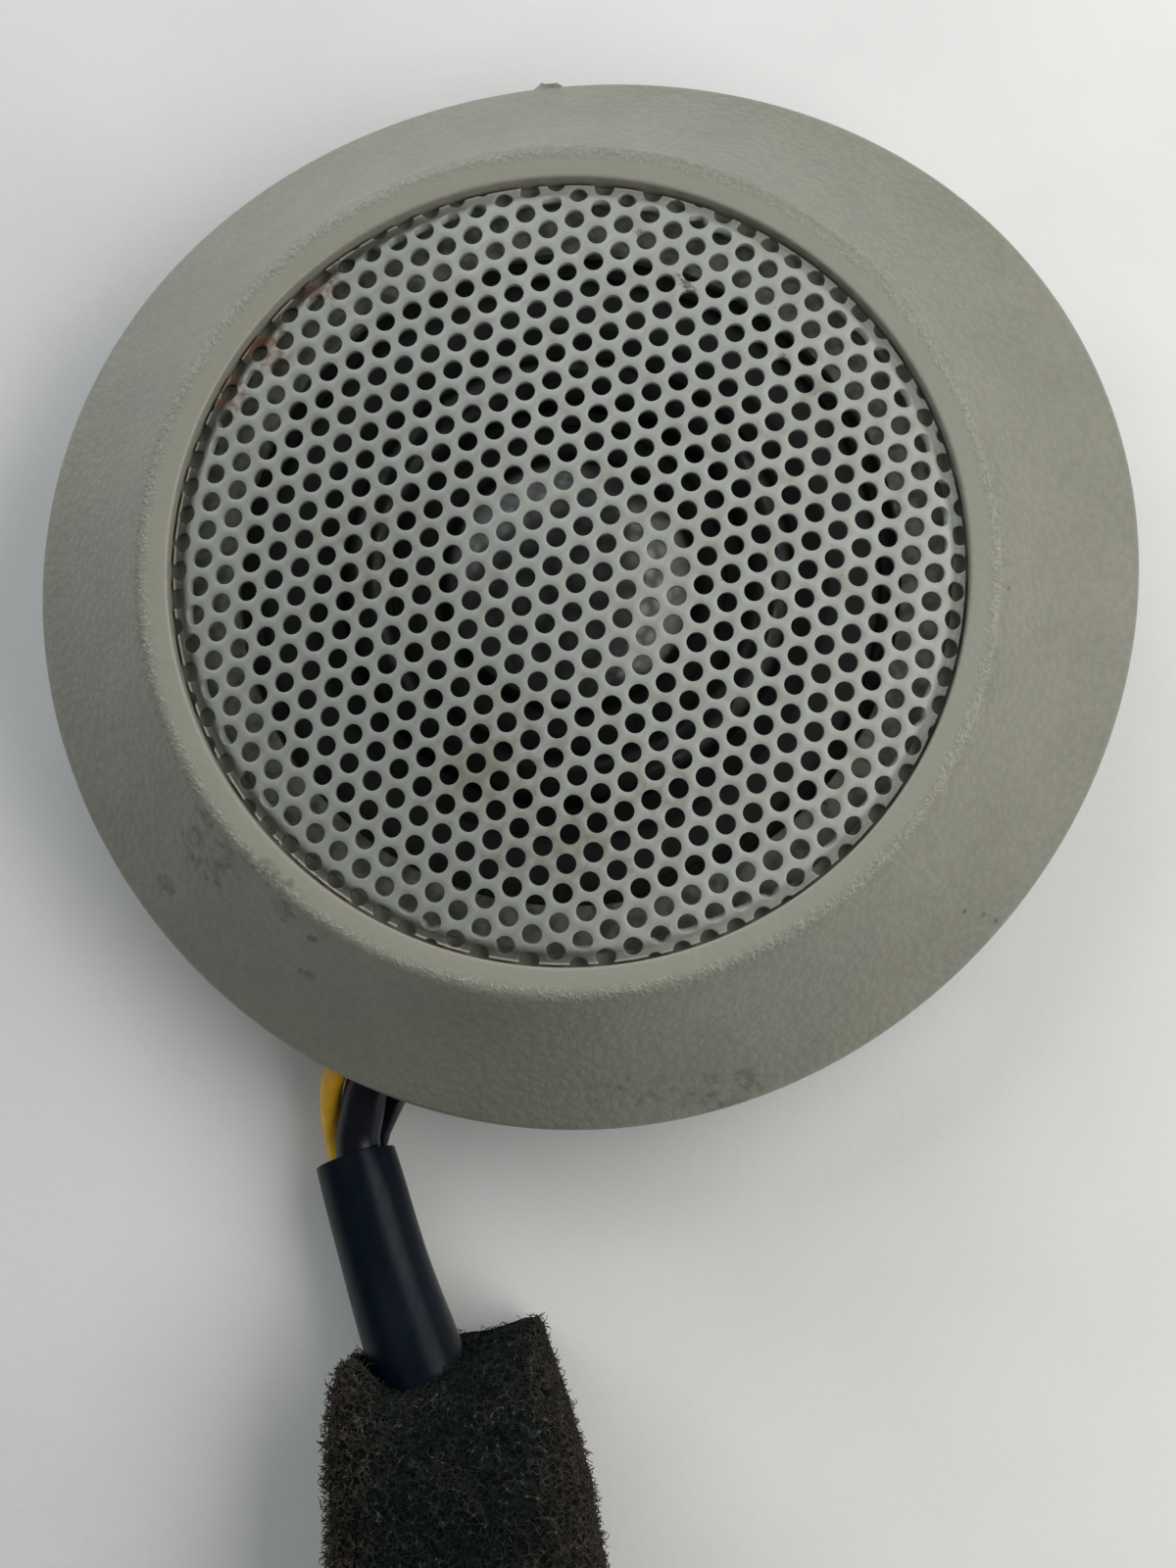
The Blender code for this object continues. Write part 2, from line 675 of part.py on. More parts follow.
def cone(finish, parent):
    """Shallow paper cone with a flat edge for the surround."""
    flat_edge = CONE_RADIUS - CONE_EDGE_WIDTH
    profile = [
        (NECK_RADIUS, CONE_NECK_Z + CONE_WALL),
        (flat_edge, FLANGE_TOP_Z),
        (CONE_RADIUS, FLANGE_TOP_Z),
        (CONE_RADIUS, CONE_EDGE_Z),
        (flat_edge, CONE_EDGE_Z),
        (NECK_RADIUS, CONE_NECK_Z),
    ]
    return turned("cone", profile, finish, parent)


def dust_cap(finish, parent):
    """Domed cap over the coil, glued to the cone."""
    edge = NECK_RADIUS + CAP_OVERLAP
    flat_edge = CONE_RADIUS - CONE_EDGE_WIDTH
    rise = (FLANGE_TOP_Z - CONE_NECK_Z - CONE_WALL) / (flat_edge - NECK_RADIUS)
    foot = CONE_NECK_Z + CONE_WALL + rise * CAP_OVERLAP + SEAT_CLEARANCE
    outer = []
    inner = []
    for step in range(ARC_STEPS + 1):
        angle = math.pi / 2 * step / ARC_STEPS
        across = math.sin(angle)
        up = math.cos(angle)
        outer.append((edge * across, foot + CAP_HEIGHT * up))
        inner.append(((edge - CAP_WALL) * across, foot + (CAP_HEIGHT - CAP_WALL) * up))
    return turned("dust_cap", outer + inner[::-1], finish, parent, closed=False)


def coil(former_finish, wire_finish, parent):
    """Coil former, and the winding centred in the top plate's gap."""
    middle = TOP_PLATE_Z + TOP_PLATE_THICKNESS / 2
    winding_low = middle - WINDING_LENGTH / 2
    winding_high = middle + WINDING_LENGTH / 2
    former_low = winding_low - FORMER_TAIL
    former_high = CONE_NECK_Z + CONE_WALL + FORMER_COLLAR
    former_section = ring_profile(FORMER_IN, FORMER_OUT, former_low, former_high)
    winding_section = ring_profile(WINDING_IN, WINDING_OUT, winding_low, winding_high)
    turned("coil_former", former_section, former_finish, parent)
    turned("coil_winding", winding_section, wire_finish, parent)


def surround(finish, parent):
    """Half-roll edge from the cone to the basket's flange."""
    low = FLANGE_TOP_Z + SEAT_CLEARANCE
    high = low + ROLL_WALL
    top = arc(ROLL_CENTRE, high, ROLL_RADIUS, math.pi, 0.0)
    under = arc(ROLL_CENTRE, low, ROLL_RADIUS - ROLL_WALL, 0.0, math.pi)
    inner_lip = CONE_RADIUS - CONE_EDGE_WIDTH + SEAT_CLEARANCE
    outer_lip = ROLL_OUT + ROLL_LIP
    profile = [(inner_lip, high), *top, (outer_lip, high), (outer_lip, low), *under, (inner_lip, low)]
    return turned("surround", profile, finish, parent)


def spider(finish, parent):
    """Corrugated centring ring from the coil to the basket's floor."""
    inner = NECK_RADIUS
    outer = BASKET_FLOOR_RADIUS - SEAT_CLEARANCE
    top = []
    under = []
    for wave in range(SPIDER_WAVES + 1):
        radius = outer + (inner - outer) * wave / SPIDER_WAVES
        lift = SPIDER_WAVE if wave % 2 else 0.0
        top.append((radius, SPIDER_Z + lift + SPIDER_WALL))
        under.append((radius, SPIDER_Z + lift))
    return turned("spider", top[::-1] + under, finish, parent)


def motor(plate_finish, magnet_finish, parent):
    """Yoke with its pole, ring magnet and top plate."""
    yoke = [
        (0.0, POLE_TOP_Z),
        (POLE_RADIUS, POLE_TOP_Z),
        (POLE_RADIUS, YOKE_THICKNESS),
        (YOKE_RADIUS, YOKE_THICKNESS),
        (YOKE_RADIUS, YOKE_CHAMFER),
        (YOKE_RADIUS - YOKE_CHAMFER, 0.0),
        (0.0, 0.0),
    ]
    magnet = ring_profile(MAGNET_BORE, MAGNET_RADIUS, MAGNET_Z, MAGNET_Z + MAGNET_THICKNESS)
    plate = ring_profile(TOP_PLATE_BORE, TOP_PLATE_RADIUS, TOP_PLATE_Z, POLE_TOP_Z)
    turned("yoke", yoke, plate_finish, parent, closed=False)
    turned("magnet", magnet, magnet_finish, parent)
    turned("top_plate", plate, plate_finish, parent)


def gasket(finish, parent):
    """Foam ring squeezed between the flange and the ledge."""
    section = ring_profile(GASKET_IN, GASKET_OUT, GASKET_Z, GASKET_Z + GASKET_THICKNESS)
    return turned("gasket", section, finish, parent)


def board_reach():
    """Inner and outer radius of the terminal board."""
    outer = FLANGE_RADIUS - BOARD_INSET
    return outer - BOARD_LENGTH, outer


def at_exit(radial, lateral):
    """A point (x, y) given along and across the leads' exit direction."""
    away = Vector((math.cos(EXIT_ANGLE), math.sin(EXIT_ANGLE)))
    across = Vector((-math.sin(EXIT_ANGLE), math.cos(EXIT_ANGLE)))
    return tuple(radial * away + lateral * across)


def rivet_centres():
    """Centres of the two eyelets that hold the terminal board."""
    inner, _ = board_reach()
    return [at_exit(inner + RIVET_INSET, side * RIVET_SPACING / 2) for side in (-1, 1)]


def terminals(board_finish, tab_finish, parent):
    """Terminal board under the flange, its eyelets and its soldering tabs."""
    inner, outer = board_reach()
    board_top = FLANGE_Z - SEAT_CLEARANCE
    board_foot = board_top - BOARD_THICKNESS
    bm = bmesh.new()
    centre = ((inner + outer) / 2, 0.0, (board_top + board_foot) / 2)
    add_box(bm, centre, (outer - inner, BOARD_WIDTH, BOARD_THICKNESS), EXIT_ANGLE)
    board = finished("terminal_board", bm, board_finish, parent, smooth=False)

    holes = bmesh.new()
    hole_low = board_foot - BOARD_THICKNESS
    hole_high = board_top + BOARD_THICKNESS
    for centre in rivet_centres():
        add_cylinder(holes, centre, RIVET_RADIUS + SEAT_CLEARANCE, hole_low, hole_high, SMALL_SEGMENTS)
    boolean(board, cutter("board_holes", holes), "DIFFERENCE")

    head_top = board_foot - SEAT_CLEARANCE
    profile = [
        (0.0, FLANGE_TOP_Z),
        (RIVET_RADIUS, FLANGE_TOP_Z),
        (RIVET_RADIUS, head_top),
        (RIVET_HEAD_RADIUS, head_top),
        (RIVET_HEAD_RADIUS, head_top - RIVET_HEAD_HEIGHT),
        (0.0, head_top - RIVET_HEAD_HEIGHT),
    ]
    rivet = bmesh.new()
    spin_profile(rivet, profile, SMALL_SEGMENTS, closed=False)
    rivet_places = [Matrix.Translation((*centre, 0.0)) for centre in rivet_centres()]
    copies("terminal_rivet", rivet, tab_finish, parent, rivet_places)

    tab = bmesh.new()
    add_box(tab, (0, 0, 0), (TAB_LENGTH, TAB_WIDTH, TAB_THICKNESS))
    turn = Matrix.Rotation(EXIT_ANGLE, 4, "Z")
    tab_middle = outer + TAB_REACH - TAB_LENGTH / 2
    tab_height = board_foot - SEAT_CLEARANCE - TAB_THICKNESS / 2
    tab_places = [
        turn @ Matrix.Translation((tab_middle, side * TAB_PITCH, tab_height)) for side in (-1, 0, 1)
    ]
    copies("terminal_tab", tab, tab_finish, parent, tab_places, smooth=False)


def tinsel_leads(finish):
    """Flexible leads from the board through a basket window to the cone's back."""
    inner, _ = board_reach()
    flat_edge = CONE_RADIUS - CONE_EDGE_WIDTH
    joint = (NECK_RADIUS + flat_edge) / 2
    joint_height = (CONE_NECK_Z + CONE_EDGE_Z) / 2 - SEAT_CLEARANCE - 2 * TINSEL_RADIUS
    window_height = (BASKET_FLOOR_Z + FLANGE_Z) / 2
    board_height = FLANGE_Z - SEAT_CLEARANCE - BOARD_THICKNESS / 2
    for name, side in (("tinsel_lead_left", -1), ("tinsel_lead_right", 1)):
        lateral = side * TINSEL_SPREAD
        route = (
            (*at_exit(inner - SEAT_CLEARANCE, lateral), board_height),
            (*at_exit((inner + BASKET_MOUTH) / 2, lateral), window_height),
            (*at_exit(BASKET_FLOOR_RADIUS, lateral), window_height),
            (*at_exit(joint, lateral), joint_height),
        )
        cord(name, route, TINSEL_RADIUS, finish)


def sleeve_frames():
    """Points, directions and side vectors along the sleeve."""
    points = smooth_points(SLEEVE_ROUTE, 1.5 * SLEEVE_RADIUS)
    frames = []
    for index, point in enumerate(points):
        before = points[max(index - 1, 0)]
        after = points[min(index + 1, len(points) - 1)]
        along = (after - before).normalized()
        side = Vector((0, 0, 1)).cross(along).normalized()
        frames.append((point, side, along.cross(side)))
    return frames


def tube_ring(frame, radius, segments):
    """A ring of points round one frame of the sleeve."""
    point, side, up = frame
    return [
        point + radius * (math.cos(angle) * side + math.sin(angle) * up)
        for angle in spaced_angles(segments, 0.0)
    ]


def sleeve(finish):
    """Vinyl tube over the leads."""
    frames = sleeve_frames()
    outer = [tube_ring(frame, SLEEVE_RADIUS, 2 * SMALL_SEGMENTS) for frame in frames]
    inner = [tube_ring(frame, SLEEVE_RADIUS - SLEEVE_WALL, 2 * SMALL_SEGMENTS) for frame in frames]
    bm = bmesh.new()
    add_loft(bm, outer + inner[::-1], closed=True)
    return finished("sleeve", bm, finish)


def oblong_points():
    """Points (across, up) of a rounded oblong of half-size 1, with a flat top and bottom."""
    points = []
    for angle in spaced_angles(FOAM_SECTION_POINTS, math.pi / FOAM_SECTION_POINTS):
        across = math.cos(angle)
        up = math.sin(angle)
        size = abs(across) ** FOAM_CORNER_POWER + abs(up) ** FOAM_CORNER_POWER
        reach = size ** (-1 / FOAM_CORNER_POWER)
        points.append((reach * across, reach * up))
    top = max(up for _, up in points)
    return [(across, up / top) for across, up in points]


def foam_ring(section):
    """A rounded-oblong section of the foam, standing on z = 0 and slanted across."""
    y, centre_x, width, height, slant = section
    ring = []
    for across, up in oblong_points():
        aside = width / 2 * across
        ring.append((centre_x + aside, y + slant * aside, height / 2 * (1 + up)))
    return ring


def foam_wrap(finish):
    """Foam round the connector, with a passage for the sleeve and a pocket open at the far end."""
    bm = bmesh.new()
    loops = add_loft(bm, [foam_ring(section) for section in FOAM_SECTIONS], closed=False)
    bm.faces.new(loops[0])
    bm.faces.new(loops[-1])
    foam = finished("foam_wrap", bm, finish)

    far_y = FOAM_SECTIONS[-1][0]
    pocket = bmesh.new()
    near = sleeve_frames()[-1][0].y + SLEEVE_RADIUS / 2
    low = CONNECTOR_CENTRE_Z - CONNECTOR_HEIGHT / 2 - SEAT_CLEARANCE
    high = CONNECTOR_CENTRE_Z + CONNECTOR_HEIGHT / 2 + LATCH_HEIGHT + SEAT_CLEARANCE
    centre = (FOAM_CENTRE_X, (near + far_y - SLEEVE_WALL) / 2, (low + high) / 2)
    add_box(pocket, centre, (CONNECTOR_WIDTH + 2 * SEAT_CLEARANCE, near - far_y + SLEEVE_WALL, high - low))
    boolean(foam, cutter("foam_pocket", pocket), "DIFFERENCE")

    passage = bmesh.new()
    passage_radius = SLEEVE_RADIUS + SEAT_CLEARANCE
    rings = [tube_ring(frame, passage_radius, 2 * SMALL_SEGMENTS) for frame in sleeve_frames()[1:]]
    loops = add_loft(passage, rings, closed=False)
    passage.faces.new(loops[0])
    passage.faces.new(loops[-1])
    boolean(foam, cutter("foam_passage", passage), "DIFFERENCE")
    return foam


def contact_places():
    """Side positions of the connector's three ways."""
    return [FOAM_CENTRE_X + place * CONTACT_PITCH for place in (-1, 0, 1)]


def connector(housing_finish, contact_finish):
    """Three-way housing with a latch rib, and the contacts in its cavities."""
    middle_y = CONNECTOR_REAR_Y - CONNECTOR_LENGTH / 2
    body_size = (CONNECTOR_WIDTH, CONNECTOR_LENGTH, CONNECTOR_HEIGHT)
    bm = bmesh.new()
    add_box(bm, (FOAM_CENTRE_X, middle_y, CONNECTOR_CENTRE_Z), body_size)
    bmesh.ops.bevel(
        bm,
        geom=list(bm.edges),
        offset=CONNECTOR_BEVEL,
        affect="EDGES",
        segments=1,
        profile=0.5,
        material=-1,
    )
    housing = finished("connector_housing", bm, housing_finish, smooth=False)

    latch = bmesh.new()
    top = CONNECTOR_CENTRE_Z + CONNECTOR_HEIGHT / 2
    latch_low = top - CONNECTOR_BEVEL
    latch_high = top + LATCH_HEIGHT
    centre = (FOAM_CENTRE_X, middle_y, (latch_low + latch_high) / 2)
    add_box(latch, centre, (LATCH_WIDTH, LATCH_LENGTH, latch_high - latch_low))
    boolean(housing, cutter("connector_latch", latch), "UNION")

    cavities = bmesh.new()
    for x in contact_places():
        cavity = (
            CONTACT_WIDTH + 2 * SEAT_CLEARANCE,
            CONNECTOR_LENGTH + 2 * CONNECTOR_BEVEL,
            CONTACT_HEIGHT + 2 * SEAT_CLEARANCE,
        )
        add_box(cavities, (x, middle_y, CONNECTOR_CENTRE_Z), cavity)
    boolean(housing, cutter("connector_cavities", cavities), "DIFFERENCE")

    contact = bmesh.new()
    add_box(contact, (0, 0, 0), (CONTACT_WIDTH, CONTACT_LENGTH, CONTACT_HEIGHT))
    contact_y = CONNECTOR_REAR_Y - SEAT_CLEARANCE - CONTACT_LENGTH / 2
    places = [Matrix.Translation((x, contact_y, CONNECTOR_CENTRE_Z)) for x in contact_places()]
    copies("connector_contact", contact, contact_finish, None, places, smooth=False)


def main():
    """Builds the pieces from the back of the loudspeaker to its face, then the pigtail."""
    clear_scene()
    steel = material("zinc_steel", (0.42, 0.42, 0.40), 0.35, 1.0)
    ferrite = material("ferrite", (0.035, 0.035, 0.038), 0.75)
    former_paper = material("former_paper", (0.45, 0.36, 0.22), 0.8)
    copper = material("copper", (0.55, 0.22, 0.09), 0.35, 1.0)
    phenolic = material("board_phenolic", (0.16, 0.07, 0.03), 0.6)
    tinned = material("tinned_brass", (0.60, 0.58, 0.52), 0.3, 1.0)
    yellow = material("yellow_vinyl", (0.55, 0.36, 0.02), 0.4)
    wide_black = material("wide_black_vinyl", (0.010, 0.011, 0.014), 0.25)
    thin_black = material("thin_black_vinyl", (0.010, 0.010, 0.012), 0.35)
    nylon = material("connector_plastic", (0.55, 0.53, 0.48), 0.45)
    brass = material("contact_brass", (0.62, 0.50, 0.25), 0.3, 1.0)
    fixed = axis_empty("speaker_axis")
    moving = axis_empty("cone_axis")
    moving.parent = fixed

    motor(steel, ferrite, fixed)
    basket(material("basket_plastic", (0.020, 0.020, 0.022), 0.55), fixed)
    spider(material("spider_cloth", (0.30, 0.19, 0.07), 0.9), fixed)
    coil(former_paper, copper, moving)
    cone(material("cone_paper", (0.012, 0.012, 0.014), 0.85), moving)
    dust_cap(material("cap_paper", (0.014, 0.014, 0.016), 0.7), moving)
    surround(material("surround_rubber", (0.015, 0.015, 0.016), 0.4), fixed)
    tinsel_leads(material("tinsel", (0.50, 0.26, 0.12), 0.4, 1.0))
    terminals(phenolic, tinned, fixed)
    driver_screws(material("screw_steel", (0.30, 0.29, 0.27), 0.35, 1.0), fixed)
    gasket(material("gasket_foam", (0.03, 0.03, 0.03), 0.95), fixed)
    trim_bezel(material("bezel_plastic", (0.305, 0.296, 0.254), 0.55), fixed)
    grille(material("grille_paint", (0.42, 0.44, 0.42), 0.45), fixed)
    cord("lead_yellow", YELLOW_ROUTE, YELLOW_RADIUS, yellow)
    cord("lead_black_wide", WIDE_ROUTE, WIDE_RADIUS, wide_black)
    cord("lead_black_thin", THIN_ROUTE, THIN_RADIUS, thin_black)
    sleeve(material("sleeve_vinyl", (0.010, 0.011, 0.014), 0.22))
    foam_wrap(material("foam", (0.040, 0.036, 0.030), 1.0))
    connector(nylon, brass)


main()
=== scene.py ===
"""Looks of a round trim-mounted loudspeaker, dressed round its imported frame.

Detailed pieces ride on the frame's two bodies: the housing, which carries all that is fixed, and
the diaphragm, which slides along +Z. Lengths are in metres and colours are sRGB from 0 to 255.
"""

import logging
import math
import random
from dataclasses import dataclass
from enum import Enum
from functools import cache
from typing import Callable, Iterable, Sequence

import bmesh
import bpy
from mathutils import Matrix, Vector, noise


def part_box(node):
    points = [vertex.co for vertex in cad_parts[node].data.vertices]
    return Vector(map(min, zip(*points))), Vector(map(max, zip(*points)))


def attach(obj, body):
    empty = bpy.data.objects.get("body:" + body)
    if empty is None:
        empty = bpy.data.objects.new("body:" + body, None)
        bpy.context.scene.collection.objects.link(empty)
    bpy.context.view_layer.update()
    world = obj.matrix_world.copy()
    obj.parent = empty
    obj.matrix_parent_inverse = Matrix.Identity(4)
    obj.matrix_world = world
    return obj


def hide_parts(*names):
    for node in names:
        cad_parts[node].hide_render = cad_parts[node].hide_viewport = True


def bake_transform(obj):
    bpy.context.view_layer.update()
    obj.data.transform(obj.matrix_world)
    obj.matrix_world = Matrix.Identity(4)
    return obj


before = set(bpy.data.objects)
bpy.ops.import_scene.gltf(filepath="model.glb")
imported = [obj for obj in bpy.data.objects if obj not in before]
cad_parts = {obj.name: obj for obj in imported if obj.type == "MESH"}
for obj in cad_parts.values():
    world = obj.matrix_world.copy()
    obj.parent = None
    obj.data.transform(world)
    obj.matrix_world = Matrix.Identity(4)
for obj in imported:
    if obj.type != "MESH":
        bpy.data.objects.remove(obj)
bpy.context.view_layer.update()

LOG = logging.getLogger("loudspeaker")

Point = tuple[float, float, float]
Section = Sequence[tuple[float, float]]
Colour = tuple[int, int, int]
Mesh = bmesh.types.BMesh
Piece = bpy.types.Object
Socket = bpy.types.NodeSocket

UP = Vector((0.0, 0.0, 1.0))
MERGE = 1e-7
# Without a seed, noise_vector starts from the clock and differs at each run
NOISE_SEED = 11
SCREW_ANGLES = tuple(map(math.radians, (-68.0, 22.0, 112.0, 202.0)))
SCREW_REACH = 0.0393
EXIT_ANGLE = math.radians(-113.0)


class Body(Enum):
    """Bodies of the frame."""

    HOUSING = "housing"
    DIAPHRAGM = "diaphragm"


class Slot(Enum):
    """Material slots of the frame's record."""

    BEZEL = "bezel_plastic"
    GRILLE = "grille_paint"
    GASKET = "gasket_foam"
    BASKET = "basket_plastic"
    SURROUND = "surround_rubber"
    CONE = "cone_paper"
    CAP = "cap_paper"
    SPIDER = "spider_cloth"
    STEEL = "zinc_steel"
    FERRITE = "ferrite"
    BOARD = "board_phenolic"
    TINNED = "tinned_brass"
    TINSEL = "tinsel"
    SCREW = "screw_steel"
    YELLOW = "yellow_vinyl"
    WIDE_BLACK = "wide_black_vinyl"
    THIN_BLACK = "thin_black_vinyl"
    SLEEVE = "sleeve_vinyl"
    FOAM = "foam"


# Shading


def linear(colour: Colour) -> tuple[float, float, float, float]:
    """Turns an sRGB colour into linear values.

    Args:
        colour: Red, green and blue from 0 to 255.

    Returns:
        Linear red, green, blue and full alpha.
    """
    shares = [value / 255 for value in colour]
    red, green, blue = (
        share / 12.92 if share <= 0.04045 else ((share + 0.055) / 1.055) ** 2.4 for share in shares
    )
    return red, green, blue, 1.0


class Shading:
    """Node tree of one procedural material, read on the piece's Object coordinates."""

    def __init__(self, name: str) -> None:
        """Starts a material with its Principled shader.

        Args:
            name: Name of the material.
        """
        self.material = bpy.data.materials.new(name)
        self.material.use_nodes = True
        self.tree = self.material.node_tree
        self.surface = self.tree.nodes["Principled BSDF"]
        self.place = self.node("ShaderNodeTexCoord").outputs["Object"]

    def feed(self, socket: Socket, value: object) -> None:
        """Links a socket to another one, or sets it to a constant.

        Args:
            socket: Input to fill.
            value: Output socket or constant.
        """
        if isinstance(value, bpy.types.NodeSocket):
            self.tree.links.new(value, socket)
        else:
            socket.default_value = value

    def node(self, kind: str, inputs: dict | None = None, **settings: object) -> bpy.types.Node:
        """Adds a node.

        Args:
            kind: Type of the node.
            inputs: Values or sockets by input name or number.
            settings: Properties of the node.

        Returns:
            The node.
        """
        made = self.tree.nodes.new(kind)
        for key, value in settings.items():
            setattr(made, key, value)
        for key, value in (inputs or {}).items():
            self.feed(made.inputs[key], value)
        return made

    def mapped(self, turn: Point, scale: Point = (1.0, 1.0, 1.0)) -> Socket:
        """Object coordinates, turned by angles and then stretched along the turned axes."""
        turned = self.node("ShaderNodeMapping", {"Vector": self.place, "Rotation": turn})
        return self.node("ShaderNodeMapping", {"Vector": turned.outputs[0], "Scale": scale}).outputs[0]

    def bent(self, patch: float, drift: float) -> Socket:
        """Object coordinates pushed about by a noise.

        Args:
            patch: Size of the noise's patches.
            drift: Furthest push.

        Returns:
            Vector output.
        """
        wander = self.node("ShaderNodeTexNoise", {"Vector": self.place, "Scale": 1 / patch, "Detail": 1.0})
        push = self.node("ShaderNodeVectorMath", {0: wander.outputs["Color"], 1: (drift,) * 3}, operation="MULTIPLY")
        return self.node("ShaderNodeVectorMath", {0: self.place, 1: push.outputs[0]}).outputs[0]

    def noise(self, size: float, detail: float, place: Socket | None = None) -> Socket:
        """Soft noise of 0.5 in the mean, with patches of a given size and octaves of finer noise."""
        inputs = {"Vector": place or self.place, "Scale": 1 / size, "Detail": detail}
        return self.node("ShaderNodeTexNoise", inputs).outputs[0]

    def cells(self, size: float, feature: str, place: Socket) -> Socket:
        """Distance in a pattern of cells of a given size, counted in cells."""
        inputs = {"Vector": place, "Scale": 1 / size}
        return self.node("ShaderNodeTexVoronoi", inputs, feature=feature).outputs["Distance"]

    def remap(self, value: Socket, low: float, high: float, start: float = 0.0, end: float = 1.0) -> Socket:
        """Maps the range from low to high to the one from start to end, held at its ends."""
        inputs = {"Value": value, "From Min": low, "From Max": high, "To Min": start, "To Max": end}
        return self.node("ShaderNodeMapRange", inputs).outputs[0]

    def clouds(
        self, size: float, detail: float, low: float, high: float, start: float = 0.0, end: float = 1.0
    ) -> Socket:
        """Soft noise whose range from low to high is mapped to the one from start to end."""
        return self.remap(self.noise(size, detail), low, high, start, end)

    def combine(self, operation: str, first: object, second: object) -> Socket:
        """Joins two values by an operation of the Math node."""
        return self.node("ShaderNodeMath", {0: first, 1: second}, operation=operation).outputs[0]

    def times(self, first: object, second: object) -> Socket:
        """Product of two values."""
        return self.combine("MULTIPLY", first, second)

    def mix(self, share: object, first: object, second: object) -> Socket:
        """Mixes two colours.

        Args:
            share: Share of the second colour.
            first: Colour at share 0.
            second: Colour at share 1.

        Returns:
            Mixed colour.
        """
        made = self.node("ShaderNodeMix", data_type="RGBA")
        for number, value in ((0, share), (6, first), (7, second)):
            self.feed(made.inputs[number], linear(value) if isinstance(value, tuple) else value)
        return made.outputs[2]

    def height(self) -> Socket:
        """Height of a point above the floor."""
        return self.node("ShaderNodeSeparateXYZ", {0: self.place}).outputs[2]

    def reach(self) -> Socket:
        """Distance of a point from the upright axis."""
        flat = self.node("ShaderNodeVectorMath", {0: self.place, 1: (1.0, 1.0, 0.0)}, operation="MULTIPLY")
        return self.node("ShaderNodeVectorMath", {0: flat.outputs[0]}, operation="LENGTH").outputs["Value"]

    def spots(self, marks: Iterable["Mark"], broken: Socket) -> Socket:
        """Soft patches at given places, broken up by a noise.

        Args:
            marks: Patches to lay down.
            broken: Noise that breaks them up.

        Returns:
            Share of the patches, from 0 to 1.
        """
        total: Socket | None = None
        for mark in marks:
            nearer = self.node("ShaderNodeVectorMath", {0: self.place, 1: mark.centre}, operation="SUBTRACT")
            placed = {"Vector": nearer.outputs[0], "Rotation": (0.0, 0.0, mark.turn), "Scale": (mark.stretch, 1, 1)}
            turned = self.node("ShaderNodeMapping", placed, vector_type="TEXTURE")
            away = self.node("ShaderNodeVectorMath", {0: turned.outputs[0]}, operation="LENGTH").outputs["Value"]
            share = self.remap(away, mark.radius, 0.0, 0.0, mark.strength)
            total = share if total is None else self.combine("MAXIMUM", total, share)
        rough = self.combine("ADD", total, self.remap(broken, 0.3, 0.7, -0.55, 0.35))
        return self.times(self.remap(rough, 0.0, 0.6), self.remap(total, 0.0, 0.15))

    def bump(self, height: Socket, depth: float) -> Socket:
        """Normals of a fine relief, whose depth is in metres."""
        inputs = {"Height": height, "Distance": depth, "Strength": 1.0}
        return self.node("ShaderNodeBump", inputs).outputs[0]

    def set(self, **sockets: object) -> bpy.types.Material:
        """Fills sockets of the shader, with underscores for spaces in their names.

        Args:
            sockets: Values or sockets by input name.

        Returns:
            The material.
        """
        for key, value in sockets.items():
            self.feed(self.surface.inputs[key.replace("_", " ")], value)
        return self.material


@dataclass(frozen=True)
class Mark:
    """A smudge, scuff or stain on a surface."""

    centre: Point
    radius: float
    strength: float = 1.0
    stretch: float = 1.0
    turn: float = 0.0


@dataclass(frozen=True)
class Finish:
    """A finish with patches of two colours, uneven gloss and a fine relief."""

    name: str
    colour: Colour
    shade: Colour
    patch: float = 0.004
    roughness: float = 0.5
    unevenness: float = 0.08
    grain: float = 0.0005
    relief: float = 0.00001
    metallic: float = 0.0
    specular: float = 0.5
    ior: float = 1.5
    turn: Point = (0.0, 0.0, 0.0)
    stretch: Point = (1.0, 1.0, 1.0)

    @cache
    def material(self) -> bpy.types.Material:
        """Makes the material once.

        Returns:
            The material.
        """
        shading = Shading(self.name)
        place = shading.mapped(self.turn, self.stretch)
        patches = shading.noise(self.patch, 3.0, place)
        fine = shading.noise(self.grain, 2.0, place)
        return shading.set(
            Base_Color=shading.mix(shading.remap(patches, 0.35, 0.65), self.colour, self.shade),
            Roughness=shading.remap(
                shading.noise(self.patch / 2, 2.0, place),
                0.3,
                0.7,
                self.roughness - self.unevenness,
                self.roughness + self.unevenness,
            ),
            Normal=shading.bump(fine, self.relief),
            Metallic=self.metallic,
            Specular_IOR_Level=self.specular,
            IOR=self.ior,
        )


